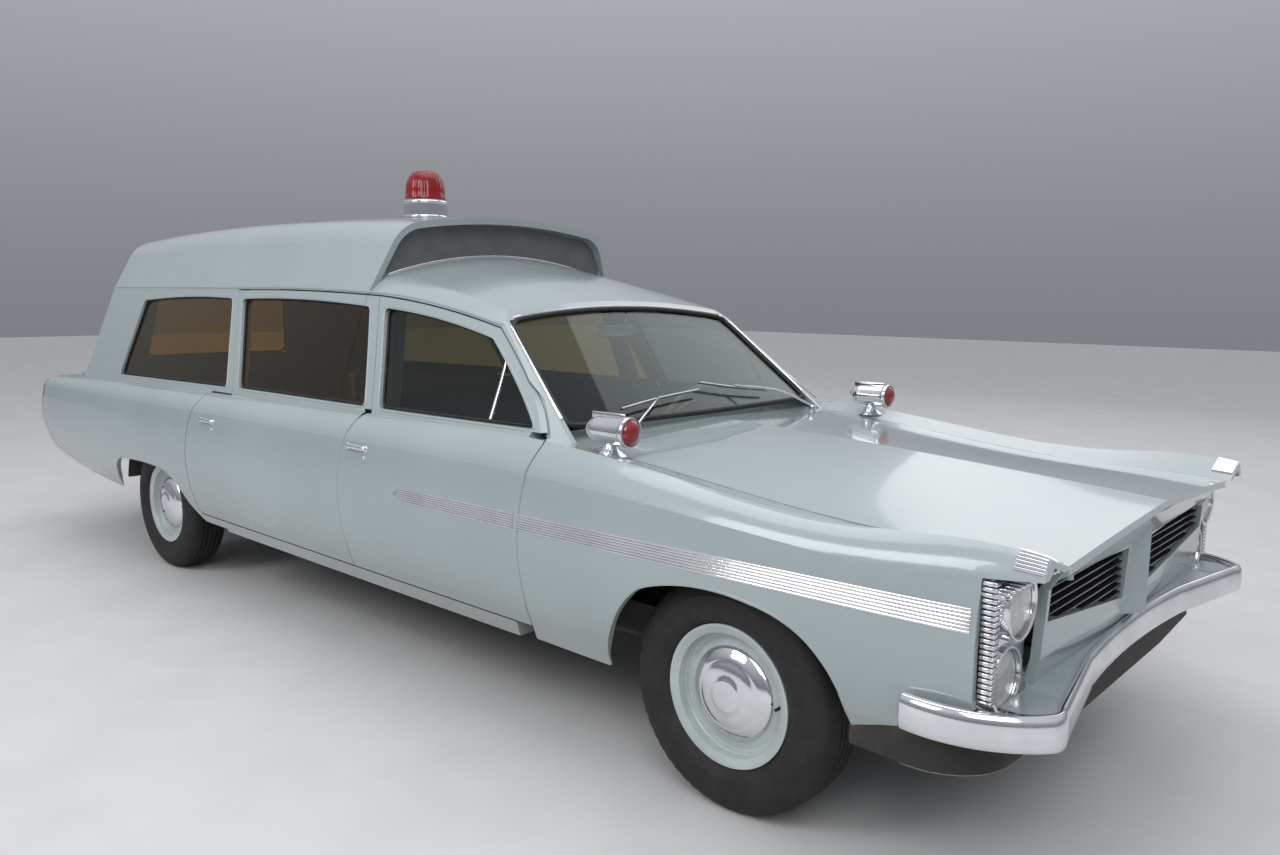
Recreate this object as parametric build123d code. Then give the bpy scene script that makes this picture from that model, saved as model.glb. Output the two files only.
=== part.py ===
from build123d import *
import math
import os

# Full-size ambulance on a long car chassis, millimetres
# +X forward, +Y the vehicle's left, +Z up, ground at z = 0

# Overall sizes
overall_length = 6200
front_overhang = 900
wheelbase = 3690
track = 1626
half_width = 1000
nose_x = overall_length / 2
tail_x = -overall_length / 2
front_axle_x = nose_x - front_overhang
rear_axle_x = front_axle_x - wheelbase

# Wheels and tyres
tyre_radius = 342
tyre_width = 205
tyre_shoulder = 38
rim_radius = 190
rim_lip = 15
rim_width = 165
hubcap_radius = 134
hubcap_depth = 42

# Sheet thicknesses and clearances
skin = 22
door_thickness = 110
roof_thickness = 45
glass_thickness = 6
glass_inset = 18
shut_gap = 6
seat_gap = 0.3

# Levels
door_bottom = 385
frame_low = 235
frame_high = 345
floor_z = 352
floor_thickness = 22

# Door hinges: pins stand inside the body side, about the round nose of each door
hinge_y = 930
nose_radius = 80
front_hinge_x = 1376
rear_hinge_x = 330
hinge_levels = (520, 820)
hinge_pin_radius = 8
hinge_arm_half = 12
hinge_arm_height = 40

sides = (("left", 1), ("right", -1))


def outline(plane, start, *steps):
    """Face from straight steps (u, v) and arc steps ((via), (end))."""
    edges = []
    here = start
    for step in steps + (start,):
        if isinstance(step[0], tuple):
            via, end = step
            edges.append(ThreePointArc(here, via, end))
        else:
            end = step
            if math.dist(here, end) > 1e-6:
                edges.append(Line(here, end))
        here = end
    face = Face(Wire(edges))
    if face.normal_at().Z < 0:
        face = -face
    return plane * face


def cross_plane(x):
    return Plane(origin=(x, 0, 0), x_dir=(0, 1, 0), z_dir=(1, 0, 0))


def side_plane(y):
    return Plane(origin=(0, y, 0), x_dir=(1, 0, 0), z_dir=(0, -1, 0))


def plan_plane(z):
    return Plane(origin=(0, 0, z))


def block(x0, x1, y0, y1, z0, z1):
    """Box between two corners."""
    size = (x1 - x0, y1 - y0, z1 - z0)
    middle = ((x0 + x1) / 2, (y0 + y1) / 2, (z0 + z1) / 2)
    return Pos(*middle) * Box(*size)


def side_prism(y0, y1, start, *steps):
    """Side-view outline carried across from y0 to y1."""
    return extrude(outline(side_plane(y1), start, *steps), amount=y1 - y0, dir=(0, -1, 0))


def cross_prism(x0, x1, start, *steps):
    """Front-view outline carried along from x0 to x1."""
    return extrude(outline(cross_plane(x0), start, *steps), amount=x1 - x0, dir=(1, 0, 0))


def plan_prism(z0, z1, start, *steps):
    """Plan outline carried up from z0 to z1."""
    return extrude(outline(plan_plane(z0), start, *steps), amount=z1 - z0, dir=(0, 0, 1))


def post(x, y, z0, z1, radius):
    """Upright round bar."""
    return Pos(x, y, (z0 + z1) / 2) * Cylinder(radius, z1 - z0)


def bar_y(x, z, y0, y1, radius):
    """Round bar across the vehicle."""
    return Pos(x, (y0 + y1) / 2, z) * Rot(90, 0, 0) * Cylinder(radius, y1 - y0)


def flip(shape):
    return mirror(shape, about=Plane.XZ)


def on_side(shape, sign):
    return shape if sign > 0 else flip(shape)


# Lower body: one smooth skin from the fender tips to the tail
# x, sill y z, crease y z, widest y z, shoulder y z, ridge y z, hood edge y z, centre z
body_stations = [
    (nose_x + 20, 868, 380, 890, 450, 922, 640, 905, 800, 872, 874, 745, 838, 888),
    (front_axle_x + 400, 912, 345, 945, 438, 970, 650, 950, 820, 880, 892, 752, 858, 926),
    (front_axle_x - 250, 928, 325, 960, 436, 985, 672, 964, 862, 880, 938, 758, 914, 966),
    (front_axle_x - 800, 934, 327, 968, 434, 994, 684, 972, 884, 886, 984, 765, 962, 986),
    (850, 935, 327, 970, 434, 998, 688, 976, 888, 889, 986, 763, 978, 992),
    (300, 935, 327, 970, 434, half_width, 690, 978, 888, 890, 982, 760, 982, 992),
    (-300, 935, 328, 970, 434, half_width, 690, 978, 887, 891, 975, 760, 981, 990),
    (rear_axle_x + 600, 935, 330, 969, 435, 999, 689, 978, 884, 893, 966, 760, 974, 984),
    (rear_axle_x, 933, 346, 966, 438, 997, 686, 977, 877, 899, 955, 760, 962, 972),
    (rear_axle_x - 600, 930, 372, 960, 446, 992, 684, 974, 868, 904, 943, 760, 949, 959),
    (tail_x + 450, 921, 404, 951, 470, 982, 686, 966, 859, 906, 928, 760, 936, 945),
    (tail_x - 20, 908, 440, 938, 500, 968, 690, 955, 850, 906, 912, 760, 922, 930),
]


def bowed(a, b, rise):
    """Point beside the middle of a-b, out to its right hand."""
    dx, dy = b[0] - a[0], b[1] - a[1]
    run = math.hypot(dx, dy)
    return ((a[0] + b[0]) / 2 + dy / run * rise, (a[1] + b[1]) / 2 - dx / run * rise)


def body_section(row, inset):
    """Full cross section of the lower body, moved inwards by inset."""
    x, sy, sz, cy, cz, wy, wz, hy, hz, ry, rz, ey, ez, top = row
    drop = 300 if inset else 0
    sill = (sy - inset, sz - drop)
    crease = (cy - inset, cz)
    widest = (wy - inset, wz)
    shoulder = (hy - inset, hz - inset * 0.3)
    ridge = (ry - inset, rz - inset)
    edge = (ey - inset * 0.5, ez - inset)
    crown = bowed(shoulder, ridge, 14)
    peak = (0, top - inset)
    flank = (edge[0] / 2, edge[1] + (peak[1] - edge[1]) * 0.62)

    def other(p):
        return (-p[0], p[1])

    return outline(
        cross_plane(x), other(sill), sill, crease, (widest, shoulder), (crown, ridge), edge,
        (flank, peak), (other(flank), other(edge)), other(ridge), (other(crown), other(shoulder)),
        (other(widest), other(crease)))


def body_solid(inset):
    return loft([body_section(row, inset) for row in body_stations])


# Upper body: belt to roof, behind the cab a raised cap with an overhanging brow
# x, belt y, rail y z, lean of the side above the rail, corner radius, crown radius, top z
cab_stations = [
    (1500, 874, 600, 1226, 60, 70, 6000, 1284),
    (1000, 880, 668, 1342, 58, 90, 6000, 1404),
    (560, 884, 700, 1416, 52, 130, 3200, 1530),
    (120, 887, 716, 1456, 45, 160, 2000, 1632),
]
cap_stations = [
    (300, 887, 716, 1452, 25, 165, 3300, 1783),
    (-700, 888, 722, 1466, 25, 175, 3300, 1815),
    (-1800, 888, 722, 1468, 25, 175, 3300, 1806),
    (-2900, 880, 716, 1462, 27, 185, 3100, 1740),
]
belt_level = 955
upper_low = 890
brow_depth = 115
brow_wall = 26


def roof_section(row, inset):
    """Full cross section of the upper body, moved inwards by inset."""
    x, belt_y, rail_y, rail_z, lean, corner, crown, top = row
    side = math.atan2(belt_y - rail_y, rail_z - belt_level)
    tilt = math.radians(lean)
    share = inset / (1 + math.cos(tilt - side))
    rail = (rail_y - share * (math.cos(side) + math.cos(tilt)),
            rail_z - share * (math.sin(side) + math.sin(tilt)))
    low = (rail[0] + (rail[1] - upper_low + inset) * math.tan(side), upper_low - inset)
    corner -= inset * 0.8
    crown -= inset
    top -= inset
    # The corner arc touches the leaning side and the crown
    way = (-math.sin(math.radians(lean)), math.cos(math.radians(lean)))
    inward = (-way[1], way[0])
    base = (rail[0] + inward[0] * corner, rail[1] + inward[1] * corner - (top - crown))
    half_b = base[0] * way[0] + base[1] * way[1]
    rest = base[0] ** 2 + base[1] ** 2 - (crown - corner) ** 2
    along = -half_b + math.sqrt(half_b ** 2 - rest)
    hub = (base[0] + way[0] * along, base[1] + way[1] * along + (top - crown))
    lower = (hub[0] - inward[0] * corner, hub[1] - inward[1] * corner)
    reach = math.hypot(hub[0], hub[1] - (top - crown))
    out = (hub[0] / reach, (hub[1] - (top - crown)) / reach)
    upper = (hub[0] + out[0] * corner, hub[1] + out[1] * corner)
    a0 = math.atan2(lower[1] - hub[1], lower[0] - hub[0])
    a1 = math.atan2(upper[1] - hub[1], upper[0] - hub[0])
    middle = (a0 + a1) / 2
    via = (hub[0] + math.cos(middle) * corner, hub[1] + math.sin(middle) * corner)

    def other(p):
        return (-p[0], p[1])

    return outline(
        cross_plane(x), other(low), low, rail, lower, (via, upper), ((0, top), other(upper)),
        (other(via), other(lower)), other(rail))


# Windshield and tail surfaces: plan outlines at two levels, joined by straight lines
# z, front corner x y, front centre x, tail corner x y, tail centre x
glass_levels = [
    (930, 1482, 775, 1540, -2560, 800, -2850),
    (1420, 905, 640, 935, -2490, 640, -2735),
]


pillar_sweep = 0.3


def upper_limit(inset):
    """Solid inside the windshield and tail surfaces."""
    faces = []
    low, high = glass_levels
    for z in (820, 1950):
        share = (z - low[0]) / (high[0] - low[0])
        _, fx, fy, fc, tx, ty, tc = [a + (b - a) * share for a, b in zip(low, high)]
        fx, fc, tx, tc = fx - inset, fc - inset, tx + inset, tc + inset
        back = pillar_sweep * (1100 - fy)
        faces.append(outline(
            plan_plane(z), (tx, ty), ((tc, 0), (tx, -ty)), (tx, -1100), (fx - back, -1100),
            (fx, -fy), ((fc, 0), (fx, fy)), (fx - back, 1100), (tx, 1100)))
    return loft(faces, ruled=True)


brow_x = 300
brow_back = brow_x - brow_depth


def upper_solid(inset):
    """Greenhouse and roof, moved inwards by inset."""
    cab = loft([roof_section(row, inset) for row in cab_stations])
    cap = loft([roof_section(row, inset) for row in cap_stations])
    if inset:
        cut_x = brow_back - inset - 15
        cap = cap - block(cut_x, 500, -1200, 1200, 700, 2000)
        both = cap + (cab - block(0, cut_x - 10, -1200, 1200, 700, 2000))
        return both & upper_limit(inset)
    lean = side_prism(-1200, 1200, (193, 1452), (262, 1800), (262, 2000), (700, 2000), (700, 1452))
    cap = cap - lean - block(brow_back, 500, -1200, 1200, 700, 1452)
    mouth_row = cap_stations[0]
    mouth = extrude(roof_section(mouth_row, brow_wall), amount=-brow_depth)
    mouth = mouth & block(brow_back, 500, -1200, 1200, 1440, 2000)
    return ((cap - mouth) + cab) & upper_limit(0)


# Masters
body_outer = body_solid(0)
body_inner = body_solid(skin)
body_deep = body_solid(door_thickness)
upper_outer = upper_solid(0)
upper_inner = upper_solid(roof_thickness)
body_skin = body_outer - body_inner
door_wall = body_outer - body_deep
upper_skin = upper_outer - upper_inner


def beyond(p, q, r, depth=900):
    """Thick slab on the far side of the plane through three points."""
    p, q, r = Vector(*p), Vector(*q), Vector(*r)
    face = Plane(origin=p, x_dir=q - p, z_dir=(q - p).cross(r - p)) * Rectangle(5000, 5000)
    return extrude(face, amount=depth)


# Doors in side view. Window frames part at sloping seams: belt x z, rail x z
half_gap = shut_gap / 2
middle_seam = (425, 990, 268, 1434)
rear_seam = (-725, 990, -912, 1452)
# Lower seam of the rear door, x at three levels
lower_seam_x = (-915, -985, -940)
lower_seam_z = (930, 640, door_bottom)
# Front edge of the front door's window frame, then the line under the drip rail
pillar_foot = (1400, 996)
pillar_head = (984, 1324)
pillar_lap = 30
lap_depth = 18
lap_clear = 8
rail_steps = (((620, 1396), (268, 1434)), ((-320, 1452), (-912, 1452)))
rail_end = (-3000, 1452)
shut_tilt = 0.30
skin_y = (884, 718)
door_inner_y = 805
door_top_z = 1005
shelf_z = 968
return_step = 26


def front_line(shift):
    """Foot and head of the front door's frame line, moved outwards by shift."""
    (x0, z0), (x1, z1) = pillar_foot, pillar_head
    run = math.dist(pillar_foot, pillar_head)
    dx, dz = (z1 - z0) / run * shift, (x0 - x1) / run * shift
    return (x0 + dx, z0 + dz), (x1 + dx, z1 + dz)


def behind_frame(shift, depth):
    """Space ahead of the frame line and deeper than the frame's thin front edge."""
    foot, head = front_line(shift)
    ahead = side_prism(-1200, 1200, (foot[0], 900), foot, head, (head[0], 1500), (1700, 1500), (1700, 900))
    return loft([roof_section(row, depth) for row in cab_stations]) & ahead


def raised(steps, up):
    """The same arcs, moved up."""
    return tuple(((via[0], via[1] + up), (end[0], end[1] + up)) for via, end in steps)


def seam_side(seam, shift, ahead):
    """Slab ahead of or behind a pillar seam; its face turns forward as it goes inwards."""
    x0, z0, x1, z1 = seam
    a = (x0 + shift, skin_y[0], z0)
    b = (x1 + shift, skin_y[1], z1)
    c = (x0 + shift + shut_tilt * 100, skin_y[0] - 100, z0)
    slab = beyond(a, b, c)
    middle = slab.center().X
    if (middle > (x0 + x1) / 2) == ahead:
        return slab
    return beyond(a, c, b)


def lower_door(x_hinge, trailing):
    """Lower half of a door, its nose round about the hinge."""
    slab = door_wall & block(-1100, 1500, door_inner_y, 1100, door_bottom, door_top_z)
    nose = post(x_hinge, hinge_y, 0, 1100, nose_radius)
    return slab - (block(x_hinge, 1600, 700, 1200, -10, 1110) - nose) - trailing


def behind_lower_seam(shift):
    """Space behind the rear door's lower seam."""
    top, middle, low = (x + shift for x in lower_seam_x)
    z_top, z_middle, z_low = lower_seam_z
    return side_prism(700, 1200, (low, 100), (low, z_low), ((middle, z_middle), (top, z_top)),
                      (top, 1300), (top - 900, 1300), (top - 900, 100))


# Window openings in side view: low front, low back, top back, then over the top to the front
window_low = 1004
front_window = ((1340, window_low), (472, window_low), (326, 1388), ((620, 1358), (968, 1288)))
rear_window = ((372, window_low), (-672, window_low), (-854, 1412), ((-320, 1416), (222, 1392)))
quarter_window = ((-790, 1000), (-2060, 985), (-1995, 1392), ((-1500, 1416), (-962, 1414)))


def window_prism(corners, shrink=0):
    """Window hole; shrink moves its edges in for the pane."""
    (x0, z0), (x1, z1), (x2, z2), (via, (x3, z3)) = corners
    s = shrink
    return side_prism(400, 1100, (x0 - s * 3, z0 + s), (x1 + s, z1 + s), (x2 + s, z2 - s),
                      ((via[0], via[1] - s), (x3 - s, z3 - s)))


def pane_wall():
    return upper_solid(glass_inset) - upper_solid(glass_inset + glass_thickness)


pane_skin = pane_wall()
pane_gap = 0.6

# Front door
front_trailing = (
    post(rear_hinge_x, hinge_y, 0, 1100, nose_radius + shut_gap)
    + block(-1300, rear_hinge_x + 1, 700, 1200, 0, 1100)
    + plan_prism(0, 1100, (rear_hinge_x, hinge_y), (rear_hinge_x, 700),
                 (rear_hinge_x + nose_radius + shut_gap + shut_tilt * 230, 700),
                 (rear_hinge_x + nose_radius + shut_gap, hinge_y)))
front_frame = upper_skin & side_prism(
    400, 1100, (0, shelf_z), (front_hinge_x - 40, shelf_z), (front_hinge_x - 40, pillar_foot[1]), pillar_foot,
    pillar_head, *rail_steps[:1], (0, 1434))
front_door = lower_door(front_hinge_x, front_trailing)
front_frame = front_frame - seam_side(middle_seam, half_gap, False)
front_door = front_door + (front_frame - behind_frame(-pillar_lap, lap_depth))
front_door = front_door - window_prism(front_window)

# Rear door
rear_frame = upper_skin & side_prism(
    400, 1100, (-1100, shelf_z), (700, shelf_z), (700, 1426), (268, 1434), *rail_steps[1:], (-1100, 1452))
rear_frame = rear_frame - seam_side(middle_seam, -half_gap, True)
rear_frame = rear_frame - (
    block(rear_hinge_x, 700, 700, 1100, 900, pillar_foot[1])
    - post(rear_hinge_x, hinge_y, 800, 1100, nose_radius))
rear_frame = rear_frame - seam_side(rear_seam, half_gap, False)
rear_low = lower_door(rear_hinge_x, behind_lower_seam(half_gap))
rear_low = rear_low - block(-1100, lower_seam_x[0] + return_step, 700, 880, 0, 1100)
rear_low = rear_low - block(-1100, rear_seam[0] + 8, 700, 1100, shelf_z, 1100)
rear_door = rear_low + rear_frame
rear_door = rear_door - window_prism(rear_window)

# Hinges: an arm from the pillar reaches out under the nose and holds an upright pin
arm_reach = 160
notch_side = 8


def hinge_notches(x):
    """Room in a door's nose for its two arms, with bores for the pins."""
    cut = None
    for z in hinge_levels:
        half = hinge_arm_height / 2 + shut_gap
        room = block(
            x - hinge_arm_half - notch_side, x + nose_radius + 30, 700, hinge_y + 18, z - half, z + half)
        bore = post(x, hinge_y, z - half - 26, z + half + 26, hinge_pin_radius + seat_gap)
        cut = room + bore if cut is None else cut + room + bore
    return cut


def hinge_arms(x):
    """Arms and pins, standing out of a pillar inboard of the axis."""
    arms = None
    for z in hinge_levels:
        half = hinge_arm_height / 2
        arm = block(x - hinge_arm_half, x + hinge_arm_half, hinge_y - arm_reach, hinge_y, z - half, z + half)
        arm = arm + post(x, hinge_y, z - half, z + half, hinge_arm_half)
        pin = post(x, hinge_y, z - half - 28, z + half + 28, hinge_pin_radius)
        arms = arm + pin if arms is None else arms + arm + pin
    return arms


front_door = front_door - hinge_notches(front_hinge_x)
rear_door = rear_door - hinge_notches(rear_hinge_x)


# Wheel arches in side view, about each axle
def front_arch():
    a = front_axle_x
    return side_prism(
        500, 1100, (a - 414, 150), (a - 414, 321), ((a - 373, 480), (a - 255, 618)),
        ((a - 70, 661), (a + 132, 653)), ((a + 290, 600), (a + 384, 494)), (a + 425, 372), (a + 425, 150))


def rear_arch():
    a = rear_axle_x
    return side_prism(
        500, 1100, (a - 446, 150), (a - 446, 430), ((a - 395, 528), (a - 250, 560)),
        ((a - 10, 569), (a + 190, 563)), ((a + 330, 515), (a + 440, 420)),
        ((a + 522, 366), (a + 640, 320)), (a + 640, 150))


# Front end
hood_seam_rear = (1300, 763)
hood_seam_front = (nose_x + 60, 742)
hood_rear_x = 1548
lamp_wall_x = 2925
lamp_brow_z = 836
fender_side = plan_prism(
    200, 1100, (hood_seam_rear[0], hood_seam_rear[1] + half_gap),
    (hood_seam_front[0], hood_seam_front[1] + half_gap),
    (hood_seam_front[0], 1100), (hood_seam_rear[0], 1100))
fender_tip = side_prism(
    -1200, 1200, (nose_x - 44, 100), (nose_x - 44, 880), (nose_x - 56, 1100), (nose_x + 200, 1100),
    (nose_x + 200, 100))
front_fender = body_skin & fender_side
front_fender = front_fender - post(front_hinge_x, hinge_y, 0, 1100, nose_radius + shut_gap)
front_fender = front_fender - block(1000, front_hinge_x, 600, 1200, 0, 1200)
front_fender = front_fender - front_arch() - fender_tip
front_fender = front_fender - block(2746, 3200, 600, 1100, 0, 458)
front_fender = front_fender - side_prism(
    600, 1100, (lamp_wall_x, 440), (lamp_wall_x, lamp_brow_z), (nose_x + 100, lamp_brow_z + 22),
    (nose_x + 100, 100), (lamp_wall_x - 40, 100), (lamp_wall_x - 40, 380))

hood_half_rear = hood_seam_rear[1] - half_gap - 2
hood_half_front = hood_seam_front[1] - half_gap
hood = body_skin & plan_prism(
    740, 1100, (hood_rear_x, -hood_half_rear), (hood_rear_x, hood_half_rear),
    (nose_x - 54, hood_half_front), ((nose_x - 44, 0), (nose_x - 54, -hood_half_front)))
cowl = body_skin & plan_prism(
    900, 1100, (1290, -760), (1290, 760), (hood_rear_x - shut_gap, 757), (hood_rear_x - shut_gap, -757))

# Nose panel between hood, lamps and bumper
grille_holes = (((100, 764), (690, 796), (690, 692), (100, 619)),)
panel_side = side_prism(
    -708, 708, (3040, 856), (2994, 772), (2984, 600), (2972, 540), (2948, 540), (2960, 600), (2970, 772),
    (3010, 846))
nose_panel = panel_side
for hole in grille_holes:
    opening = cross_prism(2900, 3100, *hole)
    nose_panel = nose_panel - opening - flip(opening)
prow = plan_prism(560, 852, (2968, -74), (2968, 74), (3022, 0))
nose_panel = nose_panel + prow
valance_outer = plan_prism(
    348, 452, (2700, -935), (2700, 935), (2760, 938), ((2900, 890), (2950, 760)), (2965, 400),
    (2965, -400), (2950, -760), ((2900, -890), (2760, -938)))
valance_inner = plan_prism(
    300, 500, (2600, -915), (2600, 915), (2760, 918), ((2884, 874), (2932, 752)), (2947, 398),
    (2947, -398), (2932, -752), ((2884, -874), (2760, -918)))
nose_panel = nose_panel & (Pos(0, 0, -shut_gap) * body_inner)
nose_panel = nose_panel + (valance_outer - valance_inner - block(2500, 2752, -1000, 1000, 200, 600))
strut = block(2932, 2955, 500, 700, 440, 560)
strut = strut + block(2805, 2945, 365, 390, 345 + seat_gap, 362)
strut = strut + (post(3000, 600, 780, 900, 12) & (Pos(0, 0, -seat_gap) * body_inner))
nose_panel = nose_panel + strut + flip(strut)

# Grille: thin bars in the two openings of the nose panel
grille_back = 2950
grille_front = 2978
grille_step = 22
grille_opening = cross_prism(
    2900, 3000, (100 + seat_gap, 764 - seat_gap), (690 - seat_gap, 796 - seat_gap),
    (690 - seat_gap, 692 + seat_gap), (100 + seat_gap, 619 + seat_gap))
grille = block(grille_back - 6, grille_back, 100, 690, 600, 800)
for z in range(632, 792, grille_step):
    grille = grille + block(grille_back, grille_front, 100, 690, z, z + 5)
grille = grille & grille_opening
grille = grille + flip(grille) + block(grille_back - 6, grille_back - 1, -130, 130, 640, 740)

# Headlamps: two round lamps in a chrome housing on each side
lamp_y = 822
lamp_rows = ((2966, 758), (2940, 576))
lamp_radius = 73
bezel_radius = 84
headlamps = block(lamp_wall_x + 0.5, 2946, 716, 926, 556, 834)
for x, z in lamp_rows:
    ring = Pos(x - 10, lamp_y, z) * Rot(0, 90, 0) * Cylinder(bezel_radius, 46)
    bowl = Pos(x + 12, lamp_y, z) * Rot(0, 90, 0) * Cylinder(lamp_radius, 40)
    lens = Pos(x - 12, lamp_y, z) * Rot(0, 90, 0) * Cylinder(lamp_radius, 18)
    headlamps = headlamps + ring - bowl + lens
headlamps = headlamps & block(2900, 3040, 752, 905, 480, 835)
headlamps = headlamps + flip(headlamps)


def front_bumper_plan(inset, z0, z1):
    """Plan of the bumper from end to end, moved inwards by inset."""
    half = bumper_half - inset
    turn = (2985, 962 - inset * 0.9)
    pod_side = (nose_x - 8 - inset, 872 - inset * 0.5)
    pod_tip = (nose_x - inset, 845)
    pod_inner = (nose_x - 6 - inset, 810)
    bay = (3022 - inset, 420)
    middle = (3000 - inset, 0)

    def other(p):
        return (p[0], -p[1])

    return plan_prism(
        z0, z1, (2700, -half), (2700, half), (2770, half), (turn, pod_side), (pod_tip, pod_inner), bay,
        (middle, other(bay)), other(pod_inner), (other(pod_tip), other(pod_side)), (other(turn), (2770, -half)))


bumper_low = 455
bumper_high = 545
bumper_half = 992
bumper_wall = 26
front_bumper = front_bumper_plan(0, bumper_low, bumper_high) - front_bumper_plan(bumper_wall, 300, 700)
front_bumper = front_bumper - block(2600, 2770, -1100, 1100, 300, 700)

# Tail of the body: rear wall, ledge and the loading door in it
tail_wall_x = -2925
tail_corner_x = -2880
tail_half = 800
ledge_z = 946


def tail_box(inset, z0, z1):
    i = inset
    return plan_prism(
        z0, z1, (-2450, -tail_half + i), (-2450, tail_half - i), (tail_corner_x + i, tail_half - i),
        ((tail_wall_x + i, 0), (tail_corner_x + i, -tail_half + i)))


tail_shell = tail_box(0, 440, ledge_z) - tail_box(roof_thickness, 300, ledge_z - roof_thickness)
tail_shell = (tail_shell - upper_outer) & block(-3000, -2540, -900, 900, 300, 1100)
rear_upper = upper_skin & block(-3000, -2300, -1200, 1200, ledge_z - roof_thickness, 2000)
tail_wall = tail_shell + rear_upper

loading_low = 600
loading_top = 1606
latch_tilt = 0.40


def loading_region(grow):
    """Loading door in rear view; the latch side's shut face turns inwards."""
    g = grow
    faces = []
    for x in (-3100, -2300):
        turn = latch_tilt * (x + 3100)
        low_y, high_y = -684 + turn - g, -688 + turn - g
        faces.append(outline(
            cross_plane(x), (low_y, loading_low - g), (600 + g, loading_low - g), (600 + g, 960),
            (500 + g, loading_top - 90), (410 + g, loading_top + g), (high_y + 90, loading_top + g),
            (high_y, loading_top - 90)))
    return loft(faces, ruled=True)


loading_door = tail_wall & loading_region(0)
loading_window = cross_prism(-3000, -2300, (-470, 1030), (470, 1030), (408, 1500), (-408, 1500))
loading_pane = cross_prism(-3000, -2300, (-469, 1031), (469, 1031), (407.5, 1499), (-407.5, 1499))
loading_glass = pane_skin & loading_pane & block(-3000, -2300, -900, 900, 900, 1900)
loading_door = loading_door - loading_window
loading_hole = loading_region(shut_gap)

# Quarter panels, and the bumper ends that follow their tails
tail_band = 60


def tail_cut(shift):
    """Space behind the tail's side profile, moved forward by shift."""
    t = tail_x
    return side_prism(
        600, 1100, (t - 100, 1100), (t + 44 + shift, 1100), (t + 44 + shift, 905),
        ((t + 22 + shift, 790), (t + 4 + shift, 668)),
        ((t + 60 + shift * 0.9, 540 + shift * 0.4), (t + 330 + shift * 0.4, 425 + shift * 0.6)),
        (t + 700, 385 + shift * 0.3), (t + 1200, 372), (t + 1200, 100), (t - 100, 100))


lamp_low = 668
lamp_high = 892
tail_end = body_outer & block(tail_x - 50, tail_x + 130, tail_half, 1100, 400, 1000)
quarter_low = body_skin & block(tail_x - 50, -700, 600, 1100, 300, 1010)
quarter_low = quarter_low - block(-2560, 0, 0, 838, 800, 1100)
quarter_low = quarter_low - block(tail_x - 50, -2560, 0, tail_half - 14, 600, 1100)
fin_wall = body_outer & block(tail_x - 50, tail_corner_x - 40, tail_half, tail_half + 16, 440, 1000)
quarter_low = quarter_low + fin_wall
quarter_low = quarter_low + (tail_end & block(tail_x - 50, tail_x + 130, 0, 1100, lamp_low, 1000))
tail_lens = tail_end & block(tail_x - 50, tail_x + 84, 826, 932, lamp_low + seat_gap, lamp_high)
tail_lens = tail_lens - tail_cut(4)
quarter_low = quarter_low - (tail_cut(tail_band + half_gap) & block(tail_x - 50, 0, 0, 1100, 0, lamp_low))
quarter_low = quarter_low - tail_cut(0)
quarter_low = quarter_low - block(tail_x - 50, tail_x + 85, 825.5, 932.5, lamp_low - 1, lamp_high + 0.5)
bumper_end = body_skin & block(tail_x - 50, tail_x + 1150, 600, 1100, 300, lamp_low - seat_gap)
bumper_end = bumper_end + (tail_end & block(tail_x - 50, tail_x + 130, 0, 1100, 400, lamp_low - seat_gap))
bumper_end = (bumper_end & tail_cut(tail_band - half_gap)) - tail_cut(0)
door_hole = block(lower_seam_x[0] - 120, 0, 500, 1200, door_bottom - shut_gap, 1300)
door_hole = door_hole - behind_lower_seam(-half_gap)
door_hole = door_hole - block(-1200, rear_seam[0] - half_gap, 500, 1200, shelf_z + shut_gap, 1300)
quarter_low = quarter_low - door_hole - rear_arch()
quarter_high = upper_skin & block(-3100, -600, 300, 1200, 900, rail_end[1] + shut_gap)
quarter_high = quarter_high - (door_hole & block(-1200, 0, 0, 1200, 900, shelf_z + shut_gap))
quarter_high = quarter_high - seam_side(rear_seam, -half_gap, True)
quarter_tail = tail_shell & block(-3100, -2500, 0.5, 1000, 440, 1000)
quarter = quarter_low + quarter_high + quarter_tail - loading_hole - window_prism(quarter_window)
quarter_right = flip(quarter_low + quarter_high + quarter_tail - window_prism(quarter_window)) - loading_hole
quarter_glass = pane_skin & window_prism(quarter_window, pane_gap)
quarter_glass = quarter_glass + flip(quarter_glass)

# Roof with the windshield posts
post_foot, post_head = front_line(shut_gap)
roof_region = side_prism(
    -1200, 1200, (post_foot[0], 940), post_foot, post_head, *raised(rail_steps, shut_gap),
    (rail_end[0], rail_end[1] + shut_gap), (-3000, 2100), (1700, 2100), (1700, 940))
ahead_of_roof = side_prism(-900, 900, (1380, 900), (1700, 900), (1700, 1500), (860, 1500), (860, 1440))
shield_hole = cross_prism(800, 1700, (-752, 940), (752, 940), (640, 1352), ((0, 1396), (-640, 1352)))
shield_hole = shield_hole & ahead_of_roof
inner_post = upper_skin & behind_frame(lap_clear - pillar_lap, lap_depth + lap_clear)
inner_post = inner_post & block(1000, 1700, -1200, 1200, 940, 1330)
roof = (upper_skin & roof_region) + inner_post
roof = roof - body_outer - shield_hole - loading_hole
windshield = pane_skin & ahead_of_roof & cross_prism(
    800, 1700, (-736, 998), (736, 998), (639.5, 1351.5), ((0, 1395.5), (-639.5, 1351.5)))

# Door glass
front_pane = pane_skin & window_prism(front_window, pane_gap)
rear_pane = pane_skin & window_prism(rear_window, pane_gap)

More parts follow.
